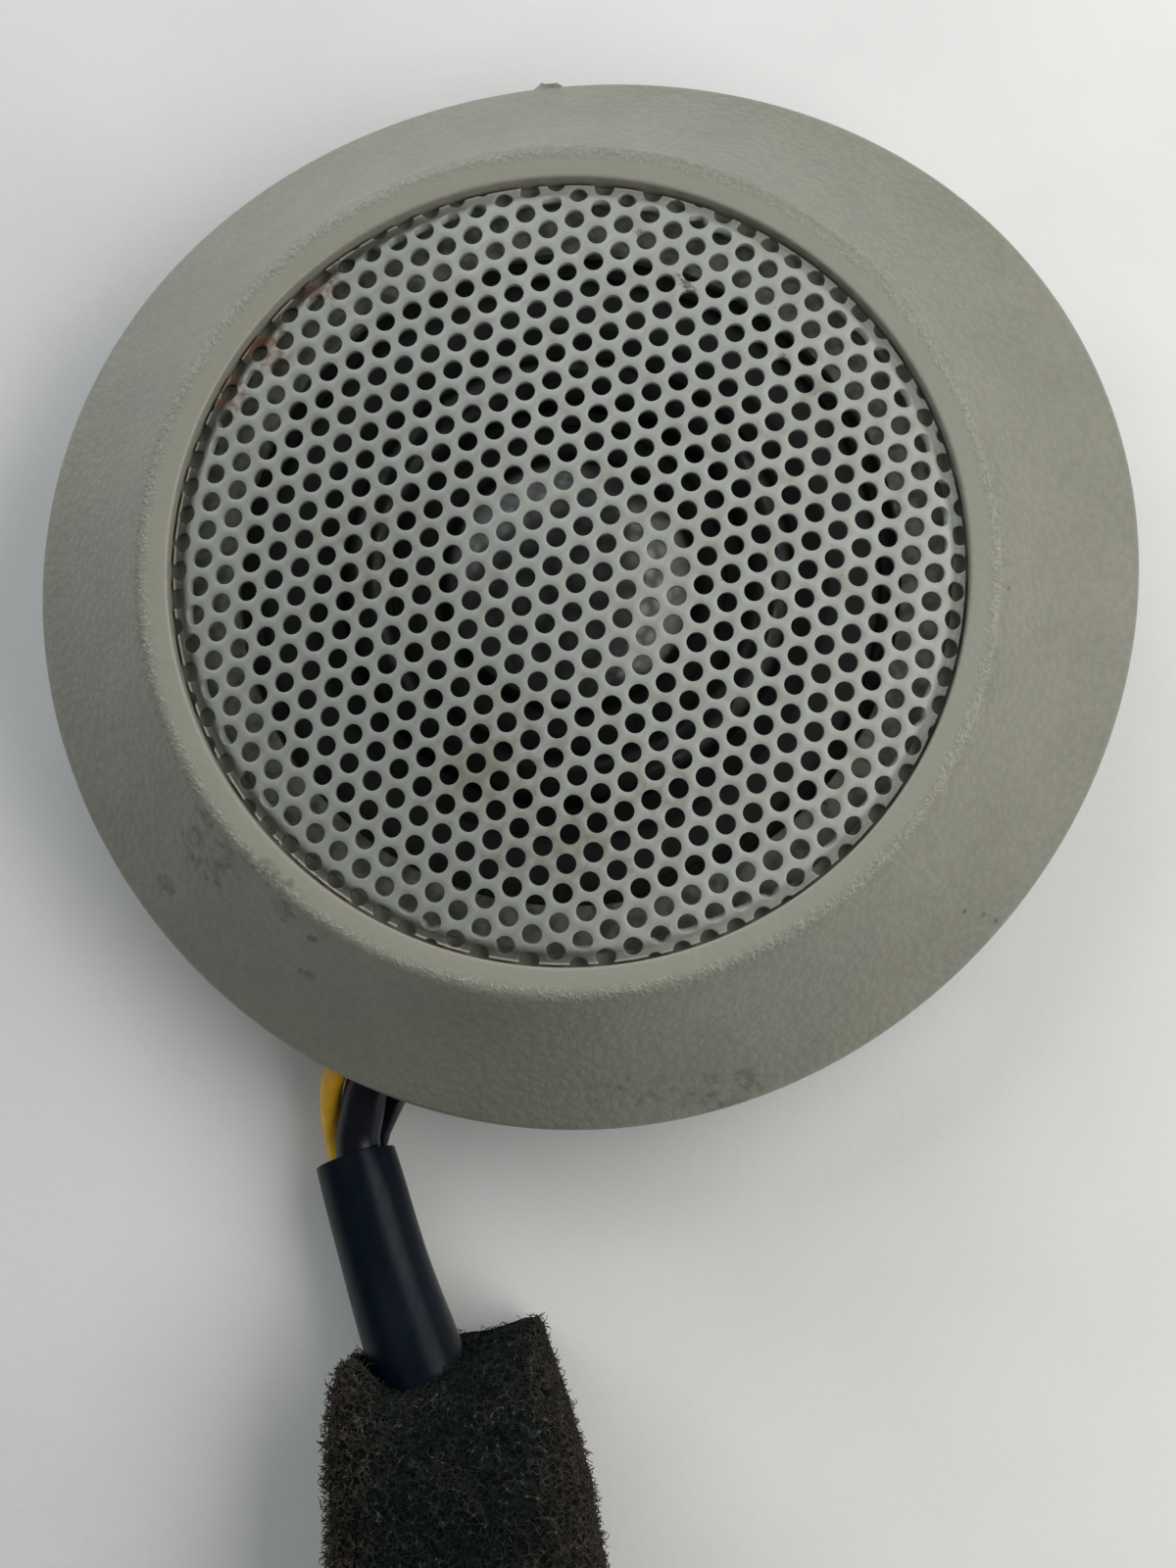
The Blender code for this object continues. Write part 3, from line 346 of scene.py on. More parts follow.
@dataclass(frozen=True)
class GrainedPlastic:
    """Moulded plastic with a leather grain, a smoother inner band, handling marks, painted glints along the crest,
    and dust with painted shade under the grille.
    """

    name: str = "grained_grey_plastic"
    colour: Colour = (139, 138, 126)
    shade: Colour = (134, 133, 122)
    band: Colour = (149, 148, 136)
    # Pale colour of the painted glints on the grain's peaks along the crest
    wear_and_glint: Colour = (206, 204, 192)
    # Colour of dirt, also used for the painted shade on the ledge under the grille
    dirt_and_shade: Colour = (62, 60, 54)
    band_reach: float = 0.0438
    band_blur: float = 0.0012
    grain: float = 0.00090
    relief: float = 0.00005
    roughness: float = 0.36
    rim_height: float = 0.0150
    ledge: tuple[float, float] = (0.0408, 0.0246)
    # Crest ring: its reach, the width of its polish, and the width of its painted glints
    crest: tuple[float, float, float] = (0.0442, 0.0024, 0.0010)
    smudges: tuple[Mark, ...] = (
        Mark((-0.0374, -0.0296, 0.0252), 0.0050, 0.40, 1.6, -0.3),
        Mark((-0.0375, -0.0255, 0.0280), 0.0013, 0.95, 1.8, 2.0),
        Mark((-0.0304, -0.0317, 0.0285), 0.0015, 0.55, 3.4, -0.7),
        Mark((-0.0285, -0.0328, 0.0285), 0.0009, 1.00),
        Mark((-0.0292, -0.0354, 0.0274), 0.0018, 0.70),
        Mark((-0.0264, -0.0383, 0.0266), 0.0010, 0.85),
        Mark((-0.0277, -0.0418, 0.0225), 0.0010, 0.85, 1.8, 0.2),
        Mark((-0.0435, -0.0321, 0.0186), 0.0018, 0.75),
        Mark((0.0412, -0.0354, 0.0184), 0.0004, 1.00),
        Mark((0.0433, -0.0357, 0.0168), 0.0004, 1.00, 1.6, 0.3),
        Mark((0.0448, -0.0362, 0.0156), 0.0004, 1.00),
        Mark((0.0254, -0.0489, 0.0177), 0.0004, 1.00, 1.5, 0.4),
        Mark((0.0056, -0.0525, 0.0160), 0.0045, 0.42, 1.6, 0.0),
        Mark((0.0159, -0.0536, 0.0160), 0.0040, 0.40, 1.6, 0.2),
        Mark((0.0130, 0.0410, 0.0280), 0.0009, 1.00, 1.6, 2.6),
        Mark((0.0417, 0.0210, 0.0260), 0.0006, 1.00),
        Mark((0.0428, 0.0079, 0.0284), 0.0005, 0.95, 3.0, 1.5),
        Mark((0.0453, -0.0028, 0.0279), 0.0004, 1.00),
        Mark((0.0440, 0.0038, 0.0284), 0.0005, 0.95, 2.4, 1.7),
        Mark((-0.0516, 0.0067, 0.0180), 0.0012, 0.70, 2.2, 1.4),
    )

    @cache
    def material(self) -> bpy.types.Material:
        """Makes the material once.

        Returns:
            The material.
        """
        shading = Shading(self.name)
        reach, height = shading.reach(), shading.height()
        pebble = shading.remap(shading.cells(self.grain, "F1", shading.bent(0.0011, 0.0007)), 0.1, 0.75, 1.0, 0.0)
        grain = shading.combine("ADD", pebble, shading.clouds(self.grain / 3, 2.0, 0.3, 0.7, 0.0, 0.35))
        half = self.band_blur / 2
        outside = shading.remap(reach, self.band_reach - half, self.band_reach + half)
        patches = shading.mix(shading.clouds(0.009, 3.0, 0.35, 0.65), self.colour, self.shade)
        grained = shading.mix(shading.remap(pebble, 0.0, 0.6, 0.10, 0.0), patches, self.dirt_and_shade)
        ring, polish, glints = self.crest
        beside = shading.combine("ABSOLUTE", shading.combine("SUBTRACT", reach, ring), 0.0)
        peaks = shading.times(shading.remap(beside, glints, 0.0), shading.clouds(0.00042, 3.0, 0.5, 0.66))
        plain = shading.mix(outside, self.band, grained)
        # Painted highlight: the grain's peaks along the crest are tinted pale as glints
        glinted = shading.mix(shading.times(peaks, 0.20), plain, self.wear_and_glint)
        soiled = shading.times(shading.spots(self.smudges, shading.noise(0.0012, 5.0)), 0.58)
        low = shading.remap(height, self.rim_height, self.rim_height - 0.0012, 0.0, 0.5)
        edge = shading.times(low, shading.clouds(0.0016, 4.0, 0.42, 0.68))
        # Dust and painted shade: the ledge under the grille and the shell's inside below it are darkened in patches
        inside = shading.combine("LESS_THAN", reach, self.ledge[0])
        sunk = shading.times(inside, shading.combine("LESS_THAN", height, self.ledge[1]))
        dust = shading.times(sunk, shading.clouds(0.0015, 4.0, 0.40, 0.62, 0.1, 0.75))
        soil_and_shade = shading.combine("MAXIMUM", soiled, shading.combine("MAXIMUM", edge, dust))
        dull = shading.clouds(0.005, 3.0, 0.3, 0.7, self.roughness - 0.05, self.roughness + 0.06)
        gloss = shading.combine("SUBTRACT", dull, shading.remap(beside, 0.0, polish, 0.14, 0.0))
        leather = shading.times(grain, shading.remap(outside, 0.0, 1.0, 0.4, 1.0))
        return shading.set(
            Base_Color=shading.mix(soil_and_shade, glinted, self.dirt_and_shade),
            Roughness=shading.combine("ADD", gloss, shading.times(soil_and_shade, 0.15)),
            Normal=shading.bump(shading.combine("ADD", leather, shading.times(peaks, 1.8)), self.relief),
        )


@dataclass(frozen=True)
class SheetPaint:
    """Painted steel sheet with orange peel, grime, rust through the paint, scratches and a pale outer edge, and
    painted shade on its left and in its edge's roll.
    """

    name: str = "grey_sheet_paint"
    colour: Colour = (160, 164, 158)
    shade: Colour = (153, 157, 150)
    # Painted shade over the sheet's left: its colour, the turn of the axis it grows along, and where it starts and is
    # strongest
    painted_shade: Colour = (98, 102, 97)
    painted_shade_turn: float = math.radians(-14)
    painted_shade_span: tuple[float, float] = (0.002, -0.014)
    grime: Colour = (112, 104, 84)
    rust: Colour = (104, 66, 38)
    # Colour of specks and scratches, also used for the painted shade in the edge's roll
    fleck_and_shade: Colour = (58, 54, 48)
    # Paler colour along the sheet's outermost edge, and the reaches over which it comes in
    pale_edge: Colour = (196, 190, 172)
    pale_edge_reach: tuple[float, float] = (0.0408, 0.0410)
    # Reaches over which the painted shade in the edge's roll comes in
    corner: tuple[float, float] = (0.0394, 0.0402)
    roughness: float = 0.42
    rust_marks: tuple[Mark, ...] = (
        Mark((-0.0262, 0.0309, 0.0265), 0.0030, 0.9, 1.8, 2.45),
        Mark((-0.0324, 0.0252, 0.0265), 0.0034, 1.0, 2.0, 2.2),
        Mark((-0.0354, 0.0194, 0.0265), 0.0028, 0.8, 1.8, 2.0),
    )
    grime_marks: tuple[Mark, ...] = (
        Mark((0.0, -0.0288, 0.0290), 0.0060, 0.60, 2.0, 0.1),
        Mark((-0.0079, -0.0207, 0.0295), 0.0070, 0.65, 1.4, 0.4),
        Mark((0.0090, -0.0240, 0.0290), 0.0050, 0.45),
        Mark((0.0258, 0.0180, 0.0290), 0.0022, 0.70),
        Mark((-0.0200, 0.0010, 0.0300), 0.0100, 0.30),
    )
    scratches: tuple[Mark, ...] = (
        Mark((0.0126, 0.0295, 0.0290), 0.0007, 1.0, 3.0, 2.3),
        Mark((0.0226, 0.0210, 0.0290), 0.0007, 1.0, 2.4, 1.8),
        Mark((0.0330, -0.0010, 0.0285), 0.0006, 1.0, 2.0, 1.5),
        Mark((0.0085, 0.0350, 0.0285), 0.0006, 0.9, 3.0, 2.7),
    )

    @cache
    def material(self) -> bpy.types.Material:
        """Makes the material once.

        Returns:
            The material.
        """
        shading = Shading(self.name)
        patches = shading.clouds(0.006, 3.0, 0.35, 0.65)
        # Painted shade: the paint darkens towards the sheet's left, a soft shadow laid into its colour
        toward = shading.node("ShaderNodeSeparateXYZ", {0: shading.mapped((0.0, 0.0, self.painted_shade_turn))}).outputs[0]
        shade_border = shading.combine("ADD", toward, shading.clouds(0.008, 3.0, 0.3, 0.7, -0.004, 0.004))
        clean = shading.mix(patches, self.colour, self.shade)
        paint = shading.mix(shading.remap(shade_border, *self.painted_shade_span, 0.0, 0.30), clean, self.painted_shade)
        film = shading.clouds(0.0025, 4.0, 0.52, 0.75, 0.0, 0.35)
        stain = shading.spots(self.grime_marks, shading.noise(0.0014, 3.0))
        dull = shading.mix(shading.combine("MAXIMUM", film, shading.times(stain, 0.6)), paint, self.grime)
        specks = shading.clouds(0.00045, 2.0, 0.72, 0.80)
        wear_and_glint = shading.combine("MAXIMUM", specks, shading.spots(self.scratches, shading.noise(0.0004, 2.0)))
        marked = shading.mix(shading.times(wear_and_glint, 0.75), dull, self.fleck_and_shade)
        rusty = shading.spots(self.rust_marks, shading.noise(0.0008, 4.0))
        peel = shading.noise(0.0006, 1.0)
        gloss = shading.remap(patches, 0.0, 1.0, self.roughness - 0.05, self.roughness + 0.06)
        reach = shading.reach()
        # Painted shade in the roll at the sheet's edge, stronger towards the left
        roll_shade = shading.times(shading.remap(toward, 0.004, -0.012), shading.remap(reach, *self.corner))
        roll_shaded = shading.mix(shading.times(roll_shade, 0.8), marked, self.fleck_and_shade)
        # A pale line along the sheet's outermost edge
        cut = shading.mix(shading.remap(reach, *self.pale_edge_reach, 0.0, 0.8), roll_shaded, self.pale_edge)
        return shading.set(
            Base_Color=shading.mix(shading.times(rusty, 0.85), cut, self.rust),
            Roughness=shading.combine("ADD", gloss, shading.times(rusty, 0.3)),
            Normal=shading.bump(peel, 0.000012),
        )


@dataclass(frozen=True)
class OpenCellFoam:
    """Dark foam with struts paler than its cells, brownish at its sides and greenish in the middle, with painted
    shade in the cells and middle and painted glints.
    """

    name: str = "open_cell_foam"
    strut: Colour = (72, 65, 55)
    # Darker greenish colour of the struts in the middle, a painted shade
    shaded_middle: Colour = (26, 41, 39)
    glint: Colour = (130, 127, 118)
    # Near-black colour in the cells, a painted shade in the pores
    cell: Colour = (1, 2, 2)
    mesh: float = 0.0011
    strut_width: float = 0.10
    middle: float = -0.0125
    sides: tuple[float, float] = (0.0045, 0.0125)
    attribute: str = "openness"

    @cache
    def material(self) -> bpy.types.Material:
        """Makes the material once.

        Returns:
            The material.
        """
        shading = Shading(self.name)
        depth = shading.node("ShaderNodeAttribute", attribute_name=self.attribute).outputs["Fac"]
        across = shading.node("ShaderNodeSeparateXYZ", {0: shading.place}).outputs[0]
        aside = shading.combine("ABSOLUTE", shading.combine("SUBTRACT", across, self.middle), 0.0)
        patches = shading.clouds(0.004, 3.0, 0.3, 0.7, -0.4, 0.4)
        # Painted shade: the struts take the darker middle colour towards the foam's middle
        unshaded = shading.combine("ADD", shading.remap(aside, *self.sides), patches)
        struts = shading.mix(shading.remap(unshaded, 0.0, 1.0), self.shaded_middle, self.strut)
        glints = shading.clouds(0.0005, 2.0, 0.60, 0.74, 0.0, 0.6)
        lit = shading.mix(glints, struts, self.glint)
        bent = shading.bent(0.0009, 0.0008)
        thin, wide = self.strut_width / 3, self.strut_width
        near = shading.remap(shading.cells(self.mesh, "DISTANCE_TO_EDGE", bent), thin, wide, 1.0, 0.0)
        # Painted shade: a dimmer second net stands for deeper struts, and patches of the net fade to dark
        deeper = shading.remap(shading.cells(self.mesh * 0.7, "DISTANCE_TO_EDGE", bent), thin, wide, 0.4, 0.0)
        faded = shading.times(near, shading.clouds(0.0017, 2.0, 0.35, 0.62, 0.15, 1.0))
        net = shading.combine("MAXIMUM", faded, deeper)
        # The cells between the struts take the near-black painted shade
        inside = shading.mix(net, self.cell, lit)
        return shading.set(
            Base_Color=shading.mix(depth, lit, inside),
            Roughness=shading.clouds(0.0006, 2.0, 0.3, 0.7, 0.55, 0.9),
            Normal=shading.bump(net, 0.00012),
            Specular_IOR_Level=0.12,
        )


class Wear(Enum):
    """Finishes that several pieces share."""

    BEZEL = GrainedPlastic()
    GRILLE = SheetPaint()
    FOAM = OpenCellFoam()
    RUBBER = Finish("surround_rubber_gloss", (20, 20, 22), (14, 14, 16), 0.004, 0.30, 0.05, 0.0009, 0.00001)
    PAPER = Finish("black_cone_paper", (30, 29, 29), (18, 18, 19), 0.0012, 0.80, 0.10, 0.00035, 0.00006)
    CAP = Finish(
        "glossy_dust_cap", (24, 23, 23), (17, 16, 17), 0.004, 0.24, 0.02, 0.0060, 0.0000005, specular=1.0, ior=1.7
    )
    BASKET = Finish("black_moulded_basket", (40, 40, 41), (30, 30, 31), 0.006, 0.48, 0.08, 0.0004, 0.00002)
    GASKET = Finish("gasket_cell_foam", (44, 43, 42), (24, 24, 24), 0.0006, 0.92, 0.06, 0.0003, 0.00009)
    ZINC = Finish("zinc_plated_steel", (176, 176, 170), (146, 146, 140), 0.003, 0.34, 0.10, 0.0004, 0.000006, 1.0)
    FERRITE = Finish("dark_ferrite", (54, 54, 56), (38, 38, 40), 0.002, 0.62, 0.10, 0.0003, 0.00002)
    BOARD = Finish("brown_phenolic", (122, 84, 46), (96, 64, 34), 0.003, 0.52, 0.08, 0.0003, 0.00001)
    TINNED = Finish("tinned_brass", (188, 184, 172), (150, 144, 130), 0.001, 0.36, 0.12, 0.0003, 0.00001, 1.0)
    TINSEL = Finish("tinsel_braid", (170, 140, 104), (120, 92, 62), 0.0004, 0.45, 0.10, 0.00025, 0.00008, 1.0)
    SCREW = Finish("black_zinc_screw", (74, 74, 76), (50, 50, 54), 0.001, 0.40, 0.10, 0.0003, 0.00001, 1.0)
    COPPER = Finish("enamelled_copper", (168, 92, 54), (132, 66, 38), 0.001, 0.34, 0.08, 0.0002, 0.00005, 1.0)
    FORMER = Finish("brown_former_paper", (132, 98, 62), (108, 78, 48), 0.002, 0.75, 0.08, 0.0003, 0.00002)
    CLOTH = Finish("resin_cloth", (150, 112, 62), (118, 86, 46), 0.0006, 0.80, 0.08, 0.0004, 0.00008)
    NYLON = Finish("white_nylon", (206, 203, 194), (190, 187, 176), 0.005, 0.40, 0.08, 0.0005, 0.00001)
    BRASS = Finish("contact_brass", (188, 158, 84), (156, 126, 62), 0.001, 0.32, 0.10, 0.0003, 0.00001, 1.0)
    YELLOW = Finish("yellow_vinyl", (246, 192, 38), (224, 170, 30), 0.004, 0.38, 0.08, 0.0006, 0.00001)
    BLACK = Finish("black_vinyl", (13, 18, 27), (9, 12, 19), 0.004, 0.30, 0.06, 0.0007, 0.00001, specular=0.28)
    SLEEVE = Finish(
        "blue_black_vinyl", (3, 15, 30), (2, 10, 21), 0.0026, 0.34, 0.05, 0.0011, 0.00002,
        specular=0.17, turn=(0.0, 0.0, 1.90), stretch=(0.12, 1.0, 1.0),
    )


# Meshes


def eased(section: Section, radius: float, steps: int = 3, closed: bool = True) -> list[tuple[float, float]]:
    """Rounds the corners of a section.

    Args:
        section: Corners as (reach, height).
        radius: Size of the rounding, held to half of the shorter side.
        steps: Points on a rounding, less one.
        closed: Whether the last corner joins the first.

    Returns:
        Points of the rounded section.
    """
    corners = [Vector(point) for point in section]
    made: list[tuple[float, float]] = []
    for number, corner in enumerate(corners):
        before, after = corners[number - 1], corners[(number + 1) % len(corners)]
        if not closed and number in (0, len(corners) - 1) or corner.x < MERGE:
            made.append(tuple(corner))
            continue
        size = min(radius, (before - corner).length / 2, (after - corner).length / 2)
        first = corner + (before - corner).normalized() * size
        last = corner + (after - corner).normalized() * size
        for step in range(steps + 1):
            share = step / steps
            made.append(tuple(first.lerp(corner, share).lerp(corner.lerp(last, share), share)))
    return made


def lathe(section: Section, steps: int, closed: bool = True) -> Mesh:
    """Spins a section round the upright axis.

    Args:
        section: Points as (reach, height).
        steps: Faces round the axis.
        closed: Whether the last point joins the first.

    Returns:
        The mesh, with its faces outwards.
    """
    bm = bmesh.new()
    points = [bm.verts.new((reach, 0.0, height)) for reach, height in section]
    ends = list(zip(points, points[1:])) + ([(points[-1], points[0])] if closed else [])
    edges = [bm.edges.new(pair) for pair in ends]
    bmesh.ops.spin(bm, geom=points + edges, axis=UP, cent=(0, 0, 0), angle=math.tau, steps=steps, use_merge=True)
    settle(bm)
    return bm


def settle(bm: Mesh, gap: float = MERGE) -> None:
    """Merges points closer than a gap and turns the faces outwards."""
    bmesh.ops.remove_doubles(bm, verts=bm.verts[:], dist=gap)
    bmesh.ops.recalc_face_normals(bm, faces=bm.faces[:])


def soften(bm: Mesh, edges: Iterable[bmesh.types.BMEdge], width: float, segments: int = 2) -> None:
    """Bevels edges to a width, with a number of faces across it."""
    bmesh.ops.bevel(
        bm, geom=list(edges), offset=width, affect="EDGES", segments=segments, profile=0.5, material=-1
    )


def rimmed(faces: Sequence[bmesh.types.BMFace]) -> list:
    """Faces together with their edges and points."""
    edges = {edge for face in faces for edge in face.edges}
    return [*faces, *edges, *{vert for face in faces for vert in face.verts}]


def add_block(bm: Mesh, centre: Point, size: Point, turn: float, ease: float = 0.0) -> None:
    """Adds a block with eased edges.

    Args:
        bm: Mesh to add to.
        centre: Centre of the block.
        size: Its sides.
        turn: Its turn about the upright axis.
        ease: Width of its bevels.
    """
    matrix = Matrix.Translation(centre) @ Matrix.Rotation(turn, 4, "Z") @ Matrix.Diagonal((*size, 1.0))
    made = bmesh.ops.create_cube(bm, size=1.0, matrix=matrix)["verts"]
    if ease:
        soften(bm, {edge for vert in made for edge in vert.link_edges}, ease)


def add_pin(bm: Mesh, foot: Point, radius: float, length: float, segments: int = 24) -> list[bmesh.types.BMVert]:
    """Adds an upright round pin.

    Args:
        bm: Mesh to add to.
        foot: Centre of its lower end.
        radius: Its radius.
        length: Its length.
        segments: Its sides.

    Returns:
        Points of the pin.
    """
    middle = Vector(foot) + UP * length / 2
    return bmesh.ops.create_cone(
        bm,
        cap_ends=True,
        segments=segments,
        radius1=radius,
        radius2=radius,
        depth=length,
        matrix=Matrix.Translation(middle),
    )["verts"]


def rounded_route(route: Sequence[Point], spacing: float) -> list[Vector]:
    """Points on a smooth curve through a route's own points.

    Args:
        route: Points of the route.
        spacing: Distance between the points that are made.

    Returns:
        Points on the curve.
    """
    points = [Vector(point) for point in route]
    spread = [2 * points[0] - points[1], *points, 2 * points[-1] - points[-2]]
    made: list[Vector] = []
    for before, start, end, after in zip(spread, spread[1:], spread[2:], spread[3:]):
        steps = max(1, round((end - start).length / spacing))
        for step in range(steps):
            t = step / steps
            line = 2 * start + (end - before) * t + (2 * before - 5 * start + 4 * end - after) * t**2
            made.append(0.5 * (line + (3 * start - before - 3 * end + after) * t**3))
    return [*made, points[-1]]


def add_tube(
    bm: Mesh,
    path: Sequence[Vector],
    radius: Callable[[float], float],
    segments: int,
    capped: bool = True,
) -> list[list[bmesh.types.BMEdge]]:
    """Adds a round tube along a path.

    Args:
        bm: Mesh to add to.
        path: Points of its middle line.
        radius: Radius at a share of the path's length.
        segments: Faces round it.
        capped: Whether its ends are closed.

    Returns:
        Edges of its first and its last ring.
    """
    rings, loops = [], []
    for number, point in enumerate(path):
        ahead = path[min(number + 1, len(path) - 1)] - path[max(number - 1, 0)]
        along = ahead.normalized()
        side = UP.cross(along).normalized()
        turn = Matrix((side, along.cross(side), along)).transposed().to_4x4()
        share = number / (len(path) - 1)
        ring = bmesh.ops.create_circle(
            bm, segments=segments, radius=radius(share), matrix=Matrix.Translation(point) @ turn
        )["verts"]
        rings.append(ring)
        loops.append(list({edge for vert in ring for edge in vert.link_edges}))
    for first, second in zip(loops, loops[1:]):
        bmesh.ops.bridge_loops(bm, edges=first + second)
    if capped:
        bmesh.ops.contextual_create(bm, geom=rings[0])
        bmesh.ops.contextual_create(bm, geom=rings[-1])
    return [loops[0], loops[-1]]


def meshed(name: str, bm: Mesh) -> bpy.types.Mesh:
    """Turns a bmesh into a mesh.

    Args:
        name: Name of the mesh.
        bm: The bmesh, which is freed.

    Returns:
        The mesh.
    """
    mesh = bpy.data.meshes.new(name)
    bm.to_mesh(mesh)
    bm.free()
    return mesh


def linked(name: str, data: bpy.types.ID) -> Piece:
    """Makes an object and links it into the scene.

    Args:
        name: Name of the object.
        data: Its mesh, curve, camera or light.

    Returns:
        The object.
    """
    piece = bpy.data.objects.new(name, data)
    bpy.context.scene.collection.objects.link(piece)
    return piece


def publish(
    name: str,
    bm: Mesh,
    wear: Wear,
    replaces: Iterable[str] = (),
    body: Body | None = Body.HOUSING,
    sharp: float = 38.0,
) -> Piece:
    """Makes a piece of a mesh, puts it on its body, and hides the CAD nodes that it stands for.

    Args:
        name: Name of the piece.
        bm: Its mesh, which is freed.
        wear: Its finish.
        replaces: CAD nodes that it stands for.
        body: Body that it rides on, or none for a piece on no body.
        sharp: Angle in degrees from which an edge stays sharp.

    Returns:
        The piece.
    """
    mesh = meshed(name, bm)
    mesh.shade_smooth()
    mesh.set_sharp_from_angle(angle=math.radians(sharp))
    mesh.materials.append(wear.value.material())
    piece = linked(name, mesh)
    if body is not None:
        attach(piece, body.value)
    if replaces:
        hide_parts(*replaces)
    LOG.info("%s: %d faces", name, len(mesh.polygons))
    return piece


def flex(piece: Piece) -> None:
    """Lays the ring's points flat, applies its transform, then puts its own points back.

    Args:
        piece: The ring.
    """
    points = [vert.co.copy() for vert in piece.data.vertices]
    for vert in piece.data.vertices:
        vert.co = (vert.co.xy.length, 0.0, vert.co.z)
    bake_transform(piece)
    for vert, point in zip(piece.data.vertices, points):
        vert.co = point


def polar(radius: float, angle: float, height: float = 0.0) -> Vector:
    """Point at a radius, an angle in radians and a height."""
    return Vector((radius * math.cos(angle), radius * math.sin(angle), height))


def dress_node(node: str, wear: Wear) -> None:
    """Gives a CAD node that stays in view a finish.

    Args:
        node: Name of the node.
        wear: Its finish.
    """
    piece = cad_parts[node]
    piece.data.materials.clear()
    piece.data.materials.append(wear.value.material())


# Studio


@dataclass(frozen=True)
class Lamp:
    """A soft oblong lamp that faces the loudspeaker."""

    name: str
    azimuth: float
    elevation: float
    power: float
    tint: Point
    width: float
    height: float
    distance: float

    def hang(self) -> None:
        """Hangs the lamp."""
        data = bpy.data.lights.new(self.name, "AREA")
        data.shape = "RECTANGLE"
        data.size = self.width
        data.size_y = self.height
        data.energy = self.power
        data.color = self.tint
        lamp = linked(self.name, data)
        raised = math.radians(self.elevation)
        flat = math.cos(raised) * self.distance
        place = polar(flat, math.radians(self.azimuth), math.sin(raised) * self.distance)
        lamp.matrix_world = Matrix.Translation(place) @ place.to_track_quat("Z", "Y").to_matrix().to_4x4()


@dataclass
class Studio:
    """Camera, floor and soft light."""

    eye: Point = (0.00981, -0.05274, 0.28666)
    ahead: Point = (-0.02989, 0.11546, -0.99286)
    upwards: Point = (0.00926, 0.99330, 0.11523)
    lens: float = 58.5
    sensor: float = 36.0
    clip: float = 0.01
    floor_side: float = 6.0
    floor_colour: Colour = (236, 237, 235)
    floor_shade: Colour = (231, 232, 230)
    lamps: tuple[Lamp, ...] = (
        Lamp("warm_lamp", 0.0, 46.0, 1.02, (1.0, 0.985, 0.95), 0.48, 0.28, 0.33),
        Lamp("cool_lamp", 122.0, 29.0, 1.90, (0.95, 0.98, 1.0), 0.60, 0.48, 0.51),
    )
    sky: float = 0.14
    sky_tint: tuple[float, ...] = (0.93, 0.97, 1.0, 1.0)

    def camera(self) -> None:
        """Places the camera of the photograph's view."""
        data = bpy.data.cameras.new("camera")
        data.lens = self.lens
        data.sensor_width = self.sensor
        data.clip_start = self.clip
        camera = linked("camera", data)
        ahead = Vector(self.ahead).normalized()
        right = ahead.cross(Vector(self.upwards)).normalized()
        turn = Matrix((right, right.cross(ahead), -ahead)).transposed().to_4x4()
        camera.matrix_world = Matrix.Translation(self.eye) @ turn
        bpy.context.scene.camera = camera

    def floor(self) -> None:
        """Lays the pale floor."""
        bm = bmesh.new()
        bmesh.ops.create_grid(bm, x_segments=1, y_segments=1, size=self.floor_side / 2)
        mesh = meshed("floor", bm)
        shading = Shading("pale_floor")
        patches = shading.clouds(0.03, 3.0, 0.35, 0.65)
        mesh.materials.append(
            shading.set(
                Base_Color=shading.mix(patches, self.floor_colour, self.floor_shade),
                Roughness=0.75,
                Normal=shading.bump(shading.noise(0.0012, 3.0), 0.00004),
            )
        )
        floor = linked("floor", mesh)

    def light(self) -> None:
        """Hangs the lamps and sets the sky."""
        for lamp in self.lamps:
            lamp.hang()
        world = bpy.data.worlds.new("soft_sky")
        world.use_nodes = True
        background = world.node_tree.nodes["Background"]
        background.inputs["Color"].default_value = self.sky_tint
        background.inputs["Strength"].default_value = self.sky
        bpy.context.scene.world = world
        bpy.context.scene.view_settings.view_transform = "Standard"


# Pigtail


@dataclass
class Lead:
    """One insulated lead from its terminal tab to the connector."""

    name: str
    node: str
    route: tuple[Point, ...]
    diameter: float
    wear: Wear
    slot: Slot
    spacing: float = 0.0018
    bevel_steps: int = 6

    def build(self, with_pieces: Sequence[Piece]) -> None:
        """Lays the lead.

        Args:
            with_pieces: Pieces on the lead; not used.
        """
        points = rounded_route(self.route, self.spacing)
        curve = bpy.data.curves.new(self.name, "CURVE")
        curve.dimensions = "3D"
        curve.bevel_depth = self.diameter / 2
        curve.bevel_resolution = self.bevel_steps
        curve.use_fill_caps = True
        spline = curve.splines.new("POLY")
        spline.points.add(len(points) - 1)
        for made, point in zip(spline.points, points):
            made.co = (*point, 1.0)
        curve.materials.append(self.wear.value.material())
        piece = linked(self.name, curve)
        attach(piece, Body.HOUSING.value)
        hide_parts(self.node)
        LOG.info("%s: %d points", self.name, len(points))


